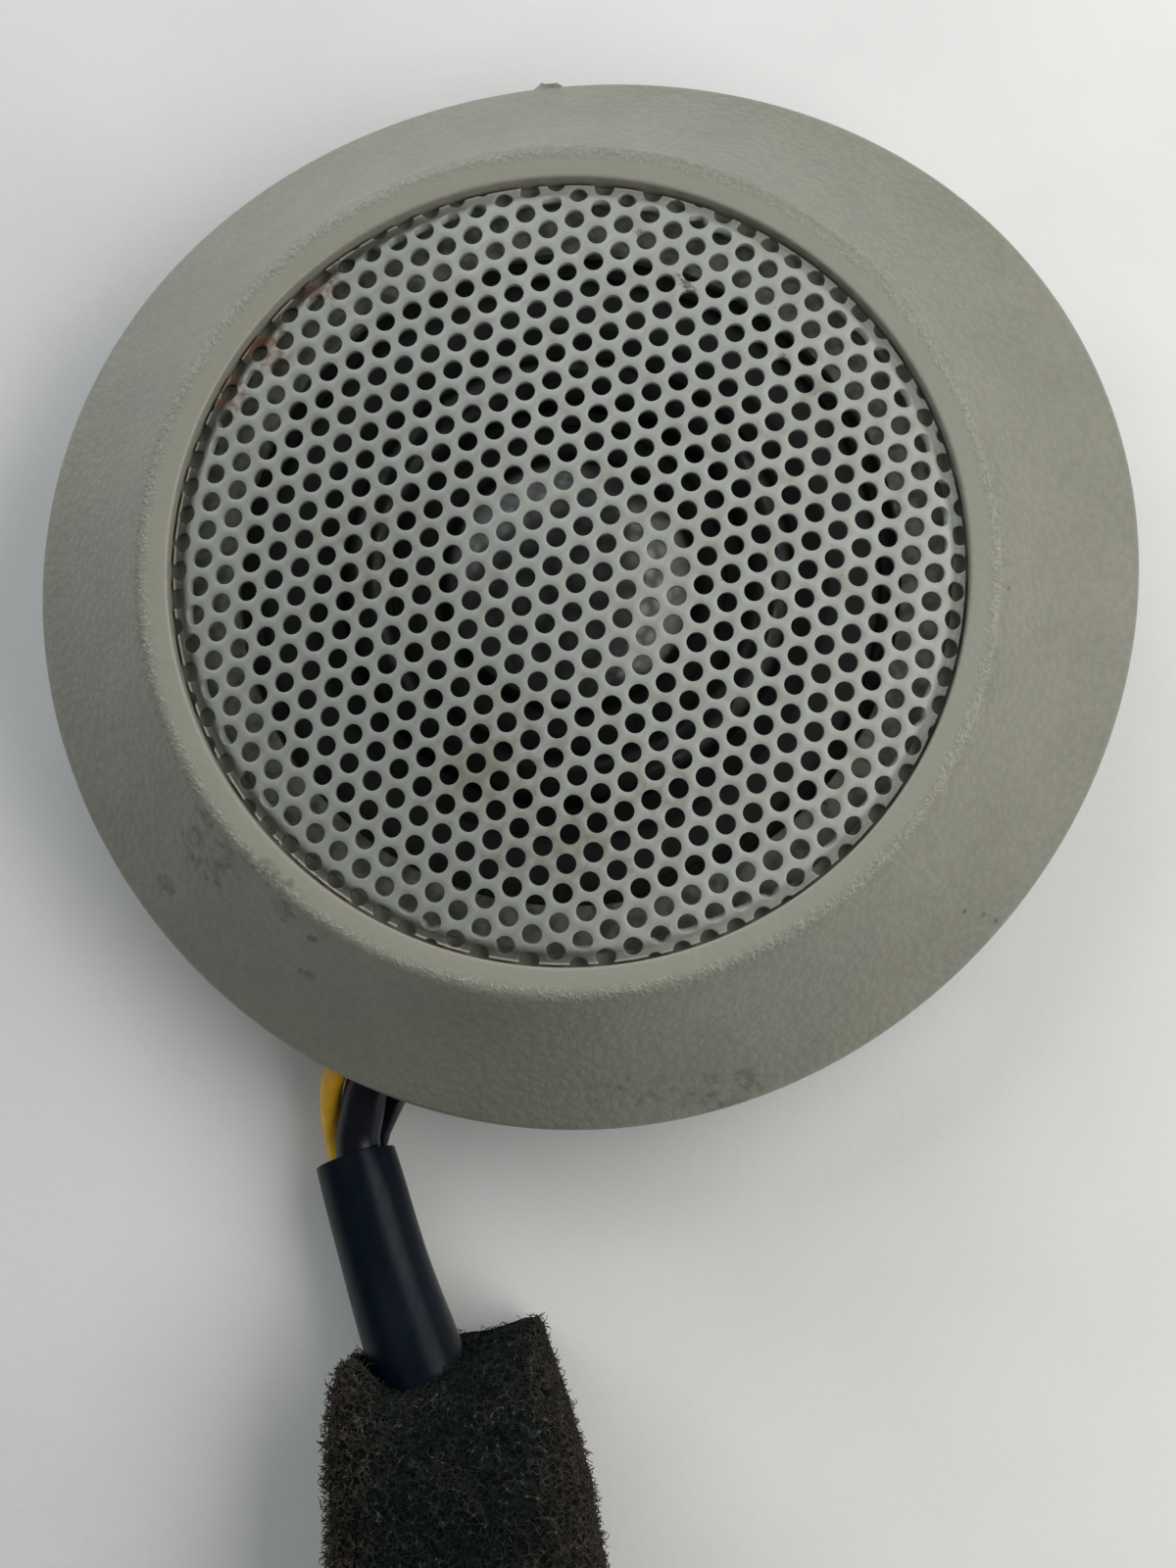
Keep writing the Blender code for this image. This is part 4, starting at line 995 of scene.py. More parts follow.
@dataclass
class Pigtail:
    """Three leads, the vinyl sleeve over them, and the foam round their connector."""

    sleeve_route: tuple[Point, ...] = (
        (-0.0244, -0.0611, 0.0052),
        (-0.0202, -0.0745, 0.0072),
        (-0.0150, -0.0881, 0.0105),
    )
    yellow_route: tuple[Point, ...] = (
        (-0.02132, -0.04010, 0.01645),
        (-0.02305, -0.04452, 0.01539),
        (-0.02539, -0.05040, 0.01127),
        (-0.02686, -0.05431, 0.00733),
        (-0.02614, -0.06170, 0.00374),
        (-0.02156, -0.07579, 0.00552),
        (-0.01684, -0.08936, 0.00903),
        (-0.01656, -0.09454, 0.01053),
        (-0.01620, -0.09970, 0.01100),
    )
    wide_route: tuple[Point, ...] = (
        (-0.01768, -0.04165, 0.01645),
        (-0.01937, -0.04587, 0.01472),
        (-0.02217, -0.05193, 0.01004),
        (-0.02331, -0.05574, 0.00813),
        (-0.02386, -0.06110, 0.00665),
        (-0.02071, -0.07394, 0.00863),
        (-0.01504, -0.08799, 0.01208),
        (-0.01270, -0.09452, 0.01182),
        (-0.01200, -0.09940, 0.01110),
    )
    thin_route: tuple[Point, ...] = (
        (-0.01406, -0.04319, 0.01645),
        (-0.01574, -0.04703, 0.01469),
        (-0.01794, -0.05189, 0.01009),
        (-0.02073, -0.05561, 0.00509),
        (-0.02242, -0.06151, 0.00317),
        (-0.01850, -0.07423, 0.00515),
        (-0.01295, -0.08769, 0.00897),
        (-0.00842, -0.09443, 0.01028),
        (-0.00780, -0.09970, 0.01100),
    )
    sleeve_radius: float = 0.0044
    sleeve_flare: float = 0.0009
    sleeve_wall: float = 0.0005
    sleeve_swell: Point = (0.00006, 9.0, 1.0)
    sleeve_sides: int = 56
    sleeve_spacing: float = 0.0006
    passage_radius: float = 0.00545
    # Foam sections from the sleeve's end to the far end: y, centre x, width, height, slant of the cut
    foam_sections: tuple[tuple[float, ...], ...] = (
        (-0.0800, -0.01440, 0.0206, 0.0176, 0.20),
        (-0.0808, -0.01445, 0.0217, 0.0192, 0.20),
        (-0.0824, -0.01445, 0.0226, 0.0203, 0.19),
        (-0.0880, -0.01365, 0.0253, 0.0220, 0.14),
        (-0.0950, -0.01235, 0.0273, 0.0225, 0.05),
        (-0.1040, -0.01140, 0.0290, 0.0225, 0.0),
        (-0.1210, -0.01160, 0.0296, 0.0225, 0.0),
        (-0.1250, -0.01160, 0.0286, 0.0216, 0.0),
        (-0.1260, -0.01160, 0.0270, 0.0205, 0.0),
    )
    foam_power: float = 5.0
    foam_spacing: float = 0.00048
    dip_depth: float = 0.0042
    dip_centre: float = -0.0186
    dip_widths: tuple[float, float] = (0.0030, 0.0095)
    dip_fade: float = 0.3
    cell_size: float = 0.0011
    cell_depth: float = 0.0005
    cell_wall: float = 0.42
    # Noises of the foam: pace and size
    wobble: tuple[float, float] = (700.0, 0.0003)
    lumps: tuple[float, float] = (200.0, 0.0003)
    lump_sink: float = 0.0002
    floor_gap: float = 0.0001
    fray_seed: int = 11
    strand_count: int = 1900
    fuzz_count: int = 2600
    strand_length: float = 0.0007
    strand_radius: float = 0.00007
    strand_bend: float = 3.8
    pocket_centre: Point = (-0.0120, 0.0, 0.0117)
    pocket_size: tuple[float, float] = (0.0156, 0.0105)
    pocket_near: float = -0.0960

    def sleeve(self) -> Piece:
        """Makes the vinyl tube, with its wall showing at the mouth.

        Returns:
            The sleeve.
        """
        bm = bmesh.new()
        path = rounded_route(self.sleeve_route, self.sleeve_spacing)

        def swelling(share: float) -> float:
            """Outer radius, which grows towards the foam and is a little uneven."""
            size, pace, lead = self.sleeve_swell
            return self.sleeve_radius + self.sleeve_flare * share + size * math.sin(pace * share + lead)

        outer = add_tube(bm, path, swelling, self.sleeve_sides, capped=False)
        inner = add_tube(
            bm, path, lambda share: swelling(share) - self.sleeve_wall, self.sleeve_sides, capped=False
        )
        for first, second in zip(outer, inner):
            bmesh.ops.bridge_loops(bm, edges=first + second)
        settle(bm)
        return publish("sleeve_tube", bm, Wear.SLEEVE, ["sleeve"])

    def foam_point(self, around: float, share: float) -> Vector:
        """Point of the foam's plain outside.

        Args:
            around: Angle round the section.
            share: Share of the foam's length, from the sleeve's end.

        Returns:
            The point.
        """
        near, far = self.foam_sections[0][0], self.foam_sections[-1][0]
        y = near + (far - near) * share
        pairs = zip(self.foam_sections, self.foam_sections[1:])
        first, second = next(pair for pair in pairs if pair[1][0] <= y + MERGE)
        part = (first[0] - y) / (first[0] - second[0])
        centre, width, height, slant = (a + (b - a) * part for a, b in zip(first[1:], second[1:]))
        across, up = math.cos(around), math.sin(around)
        scale = (abs(across) ** self.foam_power + abs(up) ** self.foam_power) ** (-1 / self.foam_power)
        aside = width / 2 * across * scale
        rise = (1 + up * scale) / 2
        dip = self.dip(centre + aside, share) * (0.45 + 0.55 * rise**2)
        return Vector((centre + aside, y + slant * aside - dip, height * rise))

    def dip(self, x: float, share: float) -> float:
        """How far the foam's upper edge is cut back round the sleeve.

        Args:
            x: Place across the foam.
            share: Share of the foam's length, from the sleeve's end.

        Returns:
            The depth of the cut.
        """
        aside = x - self.dip_centre
        width = self.dip_widths[aside > 0]
        return self.dip_depth * math.exp(-((aside / width) ** 2)) * max(0.0, 1 - share / self.dip_fade)

    def passage_point(self, around: float, share: float) -> Vector:
        """Point of the foam's inside, round the sleeve and then round the connector.

        Args:
            around: Angle round the section.
            share: Share of the foam's length, from the sleeve's end.

        Returns:
            The point.
        """
        near, far = self.foam_sections[0][0], self.foam_sections[-1][0]
        y = near + (far - near) * share
        start, end = Vector(self.sleeve_route[1]), Vector(self.sleeve_route[2])
        centre = start.lerp(end, min(1.0, (y - start.y) / (end.y - start.y)))
        radius = self.passage_radius
        across, up = math.cos(around), math.sin(around)
        tube = Vector((centre.x + radius * across, y, centre.z + radius * up))
        aside = tube.x - self.foam_sections[0][1]
        tube.y += self.foam_sections[0][4] * max(0.0, 1 - share * 3) * aside - self.dip(tube.x, share) * (1 + up) / 2
        scale = (abs(across) ** 8 + abs(up) ** 8) ** (-1 / 8)
        width, height = self.pocket_size
        x, _, z = self.pocket_centre
        pocket = Vector((x + width / 2 * across * scale, y, z + height / 2 * up * scale))
        widen = min(1.0, max(0.0, (end.y - y) / (end.y - self.pocket_near)))
        return tube.lerp(pocket, widen)

    def foam_body(self) -> Mesh:
        """Rolls a grid up into the foam wrap: outside, near end, inside and far end.

        Returns:
            The plain mesh, with its faces outwards.
        """
        length = self.foam_sections[0][0] - self.foam_sections[-1][0]
        around = round(2 * (self.foam_sections[3][2] + self.foam_sections[3][3]) / self.foam_spacing)
        outside = round(length / self.foam_spacing)
        end, inside = 24, 24
        stations = (
            [(step / outside, 0.0) for step in range(outside, 0, -1)]
            + [(0.0, step / end) for step in range(end)]
            + [(step / inside, 1.0) for step in range(inside)]
            + [(1.0, 1 - step / end) for step in range(end + 1)]
        )
        bm = bmesh.new()
        bmesh.ops.create_grid(bm, x_segments=around, y_segments=len(stations) - 1, size=0.5)
        for vert in bm.verts:
            angle = math.tau * (vert.co.x + 0.5)
            share, inward = stations[round((vert.co.y + 0.5) * (len(stations) - 1))]
            vert.co = self.foam_point(angle, share).lerp(self.passage_point(angle, share), inward)
        settle(bm, 1e-6)
        return bm

    def foam(self) -> Piece:
        """Opens the foam's cells and frays its outside.

        Returns:
            The foam wrap.
        """
        bm = self.foam_body()
        bm.normal_update()
        openness = bm.verts.layers.float.new(OpenCellFoam.attribute)
        moved = []
        for vert in bm.verts:
            wobble = noise.noise_vector(vert.co * self.wobble[0]) * self.wobble[1]
            away, centres = noise.voronoi((vert.co + wobble) / self.cell_size)
            wall = min(1.0, (away[1] - away[0]) / self.cell_wall)
            hollow = 0.55 + 0.45 * noise.noise(centres[0] * 3.7)
            pit = wall * wall * (3 - 2 * wall)
            vert[openness] = 1.0
            lump = self.lumps[1] * noise.noise(vert.co * self.lumps[0]) - self.lump_sink
            moved.append(vert.co + vert.normal * (lump - self.cell_depth * pit * (0.4 + hollow)))
        for vert, point in zip(bm.verts, moved):
            vert.co = (point.x, point.y, max(point.z, self.floor_gap))
        self.fray(bm)
        piece = publish("foam_wrap_cells", bm, Wear.FOAM, ["foam_wrap"], sharp=180.0)
        return piece

    def strand(self) -> bpy.types.Mesh:
        """Makes one bent strut, upright, of unit length and radius.

        Returns:
            The strut's mesh.
        """
        bm = bmesh.new()
        bmesh.ops.create_cone(bm, cap_ends=False, segments=3, radius1=1.0, radius2=0.7, depth=1.0)
        bmesh.ops.bisect_plane(bm, geom=[*bm.verts, *bm.edges, *bm.faces], dist=1e-6, plane_co=(0, 0, 0), plane_no=UP)
        middle = [vert for vert in bm.verts if abs(vert.co.z) < 0.1]
        bmesh.ops.translate(bm, vec=(self.strand_bend, 0.0, 0.0), verts=middle)
        return meshed("strand", bm)

    def fray(self, bm: Mesh) -> None:
        """Nets the foam's outside with bent struts, some of them broken and standing out.

        Args:
            bm: Foam mesh.
        """
        draw = random.Random(self.fray_seed)
        bm.normal_update()
        core = Vector(self.pocket_centre)
        outside = []
        for vert in bm.verts:
            arm = Vector((vert.co.x - core.x, 0.0, vert.co.z - core.z))
            if vert.co.z > 0.0008 and (arm.dot(vert.normal) > 0 or abs(vert.normal.y) > 0.6):
                outside.append((vert.co.copy(), vert.normal.copy()))
        roots = draw.choices(outside, k=self.strand_count)
        for _ in range(self.fuzz_count):
            around, share = draw.uniform(-0.1, 0.9), draw.random()
            turned = around if draw.random() < 0.5 else math.pi - around
            out = Vector((math.cos(turned), 0.6 if share < 0.03 else 0.0, 0.2)).normalized()
            roots.append((self.foam_point(turned, share) - out * draw.uniform(0.0, 0.0004), out))
        strand = self.strand()
        for root, out in roots:
            lean = Vector((draw.uniform(-1, 1), draw.uniform(-1, 1), draw.uniform(-1, 1)))
            flat = (lean - out * lean.dot(out)).normalized()
            upright = draw.uniform(0.2, 1.6)
            along = (flat + out * upright).normalized()
            length = self.strand_length * draw.uniform(0.5, 1.5)
            lift = along * (length / 2 - 0.0001) + out * draw.uniform(-0.0001, 0.0003)
            if (root + lift).z < 0.001:
                continue
            spin = Matrix.Rotation(draw.uniform(0, math.tau), 4, "Z")
            turn = along.to_track_quat("Z", "Y").to_matrix().to_4x4() @ spin
            radius = self.strand_radius * draw.uniform(0.7, 1.3)
            place = Matrix.Translation(root + lift) @ turn @ Matrix.Diagonal((radius, radius, length, 1.0))
            strand.transform(place)
            bm.from_mesh(strand)
            strand.transform(place.inverted())
        bpy.data.meshes.remove(strand)

    def build(self) -> None:
        """Makes the pigtail, dresses its connector, and lays its leads."""
        sleeve = self.sleeve()
        foam = self.foam()
        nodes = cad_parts
        dress_node("connector_housing", Wear.NYLON)
        names = [f"connector_contact_{number}" for number in (1, 2, 3)]
        for name in names:
            dress_node(name, Wear.BRASS)
        contacts = [nodes[name] for name in names]
        Lead("yellow_lead", "lead_yellow", self.yellow_route, 0.0025, Wear.YELLOW, Slot.YELLOW).build(contacts[:1])
        Lead("wide_black_lead", "lead_black_wide", self.wide_route, 0.0049, Wear.BLACK, Slot.WIDE_BLACK).build(
            [sleeve, foam, nodes["connector_housing"], contacts[1]]
        )
        Lead("thin_black_lead", "lead_black_thin", self.thin_route, 0.0027, Wear.BLACK, Slot.THIN_BLACK).build(
            contacts[2:]
        )


# Bezel


@dataclass
class Bezel:
    """Grained plastic shell with an egg-shaped rim, a crest ring and a ledge behind the grille."""

    mean_rim: float = 0.0585
    rim_waves: tuple[tuple[float, int, float], ...] = ((0.0017, 1, 6.0), (0.0013, 2, 19.0), (0.0007, 3, 31.0))
    rim_foot: float = 0.0137
    rim_lip: float = 0.0149
    rim_land: float = 0.0020
    shoulder: tuple[float, float] = (0.0450, 0.02845)
    ridge: tuple[float, float] = (0.0445, 0.0289)
    lip: tuple[float, float] = (0.0414, 0.02875)
    seat: tuple[float, float] = (0.0399, 0.0255)
    tube_reach: float = 0.0434
    opening: float = 0.0348
    ledge: tuple[float, float] = (0.0214, 0.0234)
    wall: float = 0.0028
    rim_ease: float = 0.0005
    crown_ease: float = 0.0008
    lip_ease: float = 0.0004
    inner_ease: float = 0.0003
    pocket_ease: float = 0.0007
    pocket_share: float = 0.6
    slope_steps: int = 12
    turn_steps: int = 240
    swell: float = 0.25
    post_angles: tuple[float, ...] = (52.0, 172.0, 292.0)
    post_reach: float = 0.0483
    post_radius: float = 0.0030
    pilot_radius: float = 0.0012
    pilot_depth: float = 0.0060
    post_length: float = 0.0060
    post_sides: int = 32
    boss_radius: float = 0.0025
    boss_foot: float = 0.0203
    boss_length: float = 0.0016
    gate_angle: float = math.radians(92.3)
    gate_size: Point = (0.0030, 0.0010, 0.0009)

    def rim(self, angle: float) -> float:
        """Radius of the rim at an angle."""
        waves = (size * math.cos(count * (angle - math.radians(lead))) for size, count, lead in self.rim_waves)
        return self.mean_rim + sum(waves)

    def slope(self, share: float) -> float:
        """Height of the slope at a share of its width."""
        fall = share + self.swell * share * (1 - share)
        return self.shoulder[1] - (self.shoulder[1] - self.rim_lip) * fall

    def section(self) -> list[tuple[float, float]]:
        """Section of the shell at the rim's mean radius.

        Returns:
            Points as (reach, height).
        """
        reach, _ = self.shoulder
        width = self.mean_rim - reach
        count = self.slope_steps
        slope = [(reach + width * step / count, self.slope(step / count)) for step in range(count, -1, -1)]
        inner_share = self.wall / width
        pocket_top = self.slope(inner_share) - self.wall / 2
        outside = eased(
            [(self.mean_rim - self.rim_land, self.rim_foot), (self.mean_rim, self.rim_foot), *slope[:2]],
            self.rim_ease,
            closed=False,
        )[:-1]
        corners = [slope[-2], self.ridge, self.lip, (self.lip[0], self.seat[1])]
        crown = eased(corners[:3], self.crown_ease, 6, closed=False)[1:-1]
        crown += eased(corners[1:], self.lip_ease, 5, closed=False)[1:-1]
        inside = [
            (self.lip[0], self.seat[1]),
            self.seat,
            (self.seat[0], self.ledge[1]),
            (self.opening, self.ledge[1]),
            (self.opening, self.ledge[0]),
            (self.tube_reach, self.ledge[0]),
            (self.tube_reach, pocket_top - self.pocket_ease),
            (self.tube_reach + self.pocket_ease, pocket_top),
            (reach + width * self.pocket_share - self.wall, self.slope(self.pocket_share)),
        ]
        return [*outside, *slope[1:-1], *crown, *eased(inside, self.inner_ease, 2, closed=False)]

    def shell(self) -> Mesh:
        """Spins the shell and draws its skirt out to the egg-shaped rim.

        Returns:
            The shell's mesh.
        """
        bm = lathe(self.section(), self.turn_steps)
        width = self.mean_rim - self.shoulder[0]
        for vert in bm.verts:
            reach = vert.co.xy.length
            share = max(0.0, (reach - self.shoulder[0]) / width)
            angle = math.atan2(vert.co.y, vert.co.x)
            vert.co.xy *= (reach + share * (self.rim(angle) - self.mean_rim)) / reach
        return bm

    def add_posts(self, bm: Mesh) -> None:
        """Adds the mounting posts with their pilot holes, and the driver's bosses.

        Args:
            bm: Shell to add to.
        """
        for angle in map(math.radians, self.post_angles):
            foot = polar(self.post_reach, angle, self.rim_foot)
            pin = add_pin(bm, foot, self.post_radius, self.post_length, self.post_sides)
            skirt = self.rim(angle) - self.shoulder[0]
            for vert in pin:
                if vert.co.z > foot.z + self.post_length / 2:
                    share = (vert.co.xy.length - self.shoulder[0]) / skirt
                    vert.co.z = self.slope(max(0.0, share)) - self.wall / 2
            below = [face for face in {face for vert in pin for face in vert.link_faces} if face.normal.z < -0.9]
            bmesh.ops.inset_region(bm, faces=below, thickness=self.post_radius - self.pilot_radius)
            sunk = bmesh.ops.extrude_discrete_faces(bm, faces=below)["faces"]
            bmesh.ops.translate(
                bm, vec=UP * self.pilot_depth, verts=list({vert for face in sunk for vert in face.verts})
            )
        for angle in SCREW_ANGLES:
            add_pin(bm, polar(SCREW_REACH, angle, self.boss_foot), self.boss_radius, self.boss_length)

    def add_gate(self, bm: Mesh) -> None:
        """Adds the trimmed moulding gate on the rim.

        Args:
            bm: Shell to add to.
        """
        width, depth, height = self.gate_size
        centre = polar(self.rim(self.gate_angle), self.gate_angle, self.rim_lip - height / 2)
        stub = bmesh.new()
        add_block(stub, centre, (depth, width, height), self.gate_angle)
        bmesh.ops.subdivide_edges(stub, edges=stub.edges[:], cuts=5, use_grid_fill=True)
        out, side = polar(1.0, self.gate_angle), polar(1.0, self.gate_angle + math.pi / 2)
        for vert in stub.verts:
            beyond = max(0.0, (vert.co - centre).dot(out)) / depth
            vert.co -= side * (vert.co - centre).dot(side) * 0.7 * beyond
            vert.co += 0.0003 * noise.noise_vector(vert.co * 1300)
        mesh = meshed("gate_stub", stub)
        bm.from_mesh(mesh)
        bpy.data.meshes.remove(mesh)

    def build(self) -> None:
        """Makes the bezel."""
        bm = self.shell()
        self.add_posts(bm)
        self.add_gate(bm)
        publish("trim_bezel_shell", bm, Wear.BEZEL, ["trim_bezel"])


# Grille


@dataclass
class Grille:
    """Perforated steel sheet, domed and turned down at its edge."""

    pitch: float = 0.0030
    hole: float = 0.00106
    rounding: float = 0.00003
    sheet: float = 0.0008
    row_angle: float = math.radians(22.44)
    first_hole: tuple[float, float] = (0.00096, -0.00232)
    dome_reach: float = 0.0391
    dome_rise: float = 0.0029
    edge_height: float = 0.0279
    roll: float = 0.0013
    reverse: float = 0.0005
    steepest: float = math.radians(60)
    flange: float = 0.0006
    trims: int = 96
    hole_sides: int = 18
    weld: float = 2e-5
    sharp: float = 62.0

    def bends(self) -> tuple[float, float, float]:
        """Angle at the dome's edge, and the lengths of the roll and of the reverse bend."""
        start = math.atan(2 * self.dome_rise / self.dome_reach)
        return start, self.roll * (self.steepest - start), self.reverse * self.steepest

    def flat_reach(self) -> float:
        """Radius of the flat blank before it is formed."""
        return self.dome_reach + sum(self.bends()[1:]) + self.flange

    def cell(self) -> bpy.types.Mesh:
        """Makes the face of one six-sided cell of the sheet with its punched hole.

        Returns:
            The cell's mesh, centred on its hole.
        """
        bm = bmesh.new()
        loops = []
        turn = Matrix.Rotation(self.row_angle, 4, "Z")
        for radius, sides in ((self.pitch / math.sqrt(3), 6), (self.hole, self.hole_sides)):
            ring = bmesh.ops.create_circle(bm, segments=sides, radius=radius, matrix=turn)["verts"]
            loop = list({edge for vert in ring for edge in vert.link_edges})
            if sides == 6:
                split = bmesh.ops.subdivide_edges(bm, edges=loop, cuts=2)["geom"]
                loop = [part for part in split if isinstance(part, bmesh.types.BMEdge)]
            loops.extend(loop)
        bmesh.ops.bridge_loops(bm, edges=loops)
        return meshed("grille_cell", bm)

    def blank(self) -> Mesh:
        """Lays the cells side by side and trims the sheet's face to a round blank.

        Returns:
            The flat face of the blank.
        """
        cell = self.cell()
        bm = bmesh.new()
        reach = self.flat_reach()
        along = polar(self.pitch, self.row_angle)
        aslant = polar(self.pitch, self.row_angle + math.pi / 3)
        start = Vector((*self.first_hole, 0.0))
        count = math.ceil(reach / self.pitch) + 6
        for row in range(-count, count + 1):
            for place in range(-count, count + 1):
                centre = start + along * place + aslant * row
                if centre.length < reach + self.pitch:
                    cell.transform(Matrix.Translation(centre))
                    bm.from_mesh(cell)
                    cell.transform(Matrix.Translation(-centre))
        bpy.data.meshes.remove(cell)
        bmesh.ops.remove_doubles(bm, verts=bm.verts[:], dist=self.weld)
        bent = self.dome_reach - self.reverse
        rim = [edge for edge in bm.edges if (edge.verts[0].co + edge.verts[1].co).length / 2 > bent]
        bmesh.ops.subdivide_edges(bm, edges=rim, cuts=1, use_grid_fill=True)
        for step in range(self.trims):
            out = polar(1.0, math.tau * step / self.trims)
            span = 1.5 * math.tau / self.trims
            near = [
                face
                for face in bm.faces
                if face.calc_center_median().dot(out) > reach - self.pitch
                and out.angle(face.calc_center_median()) < span
            ]
            bmesh.ops.bisect_plane(
                bm, geom=rimmed(near), dist=1e-6, plane_co=out * reach, plane_no=out, clear_outer=True
            )
        bmesh.ops.delete(bm, geom=[vert for vert in bm.verts if not vert.link_faces], context="VERTS")
        bmesh.ops.delete(bm, geom=[edge for edge in bm.edges if not edge.link_faces], context="EDGES")
        return bm

    def formed(self, flat: Vector) -> Vector:
        """Place of a point of the blank after forming.

        Args:
            flat: Point of the blank.

        Returns:
            The formed point.
        """
        reach = flat.xy.length
        out = flat.normalized() if reach > MERGE else Vector((1.0, 0.0, 0.0))
        start, rolled, turned = self.bends()
        if reach <= self.dome_reach:
            return out * reach + UP * (self.edge_height + self.dome_rise * (1 - (reach / self.dome_reach) ** 2))
        beyond = reach - self.dome_reach
        angle = start + min(beyond, rolled) / self.roll
        far = self.dome_reach + self.roll * (math.sin(angle) - math.sin(start))
        height = self.edge_height - self.roll * (math.cos(start) - math.cos(angle))
        if beyond > rolled:
            angle = self.steepest - min(beyond - rolled, turned) / self.reverse
            far += self.reverse * (math.sin(self.steepest) - math.sin(angle)) + max(0.0, beyond - rolled - turned)
            height -= self.reverse * (math.cos(angle) - math.cos(self.steepest))
        return out * far + UP * height

    def build(self) -> None:
        """Makes the grille: forms the face, thickens it downwards and eases the punched edges."""
        bm = self.blank()
        for vert in bm.verts:
            vert.co = self.formed(vert.co)
        bmesh.ops.recalc_face_normals(bm, faces=bm.faces[:])
        if max(bm.faces, key=lambda face: face.calc_area()).normal.z < 0:
            bmesh.ops.reverse_faces(bm, faces=bm.faces[:])
        bm.normal_update()
        bmesh.ops.solidify(bm, geom=bm.faces[:], thickness=self.sheet)
        bmesh.ops.recalc_face_normals(bm, faces=bm.faces[:])
        piece = publish("grille_sheet", bm, Wear.GRILLE, ["grille"], sharp=self.sharp)
        ease = piece.modifiers.new("ease", "BEVEL")
        ease.width = self.rounding
        ease.segments = 1
        ease.limit_method = "ANGLE"
        ease.angle_limit = math.radians(self.sharp)
        even = piece.modifiers.new("even_normals", "WEIGHTED_NORMAL")
        even.keep_sharp = False


# Driver


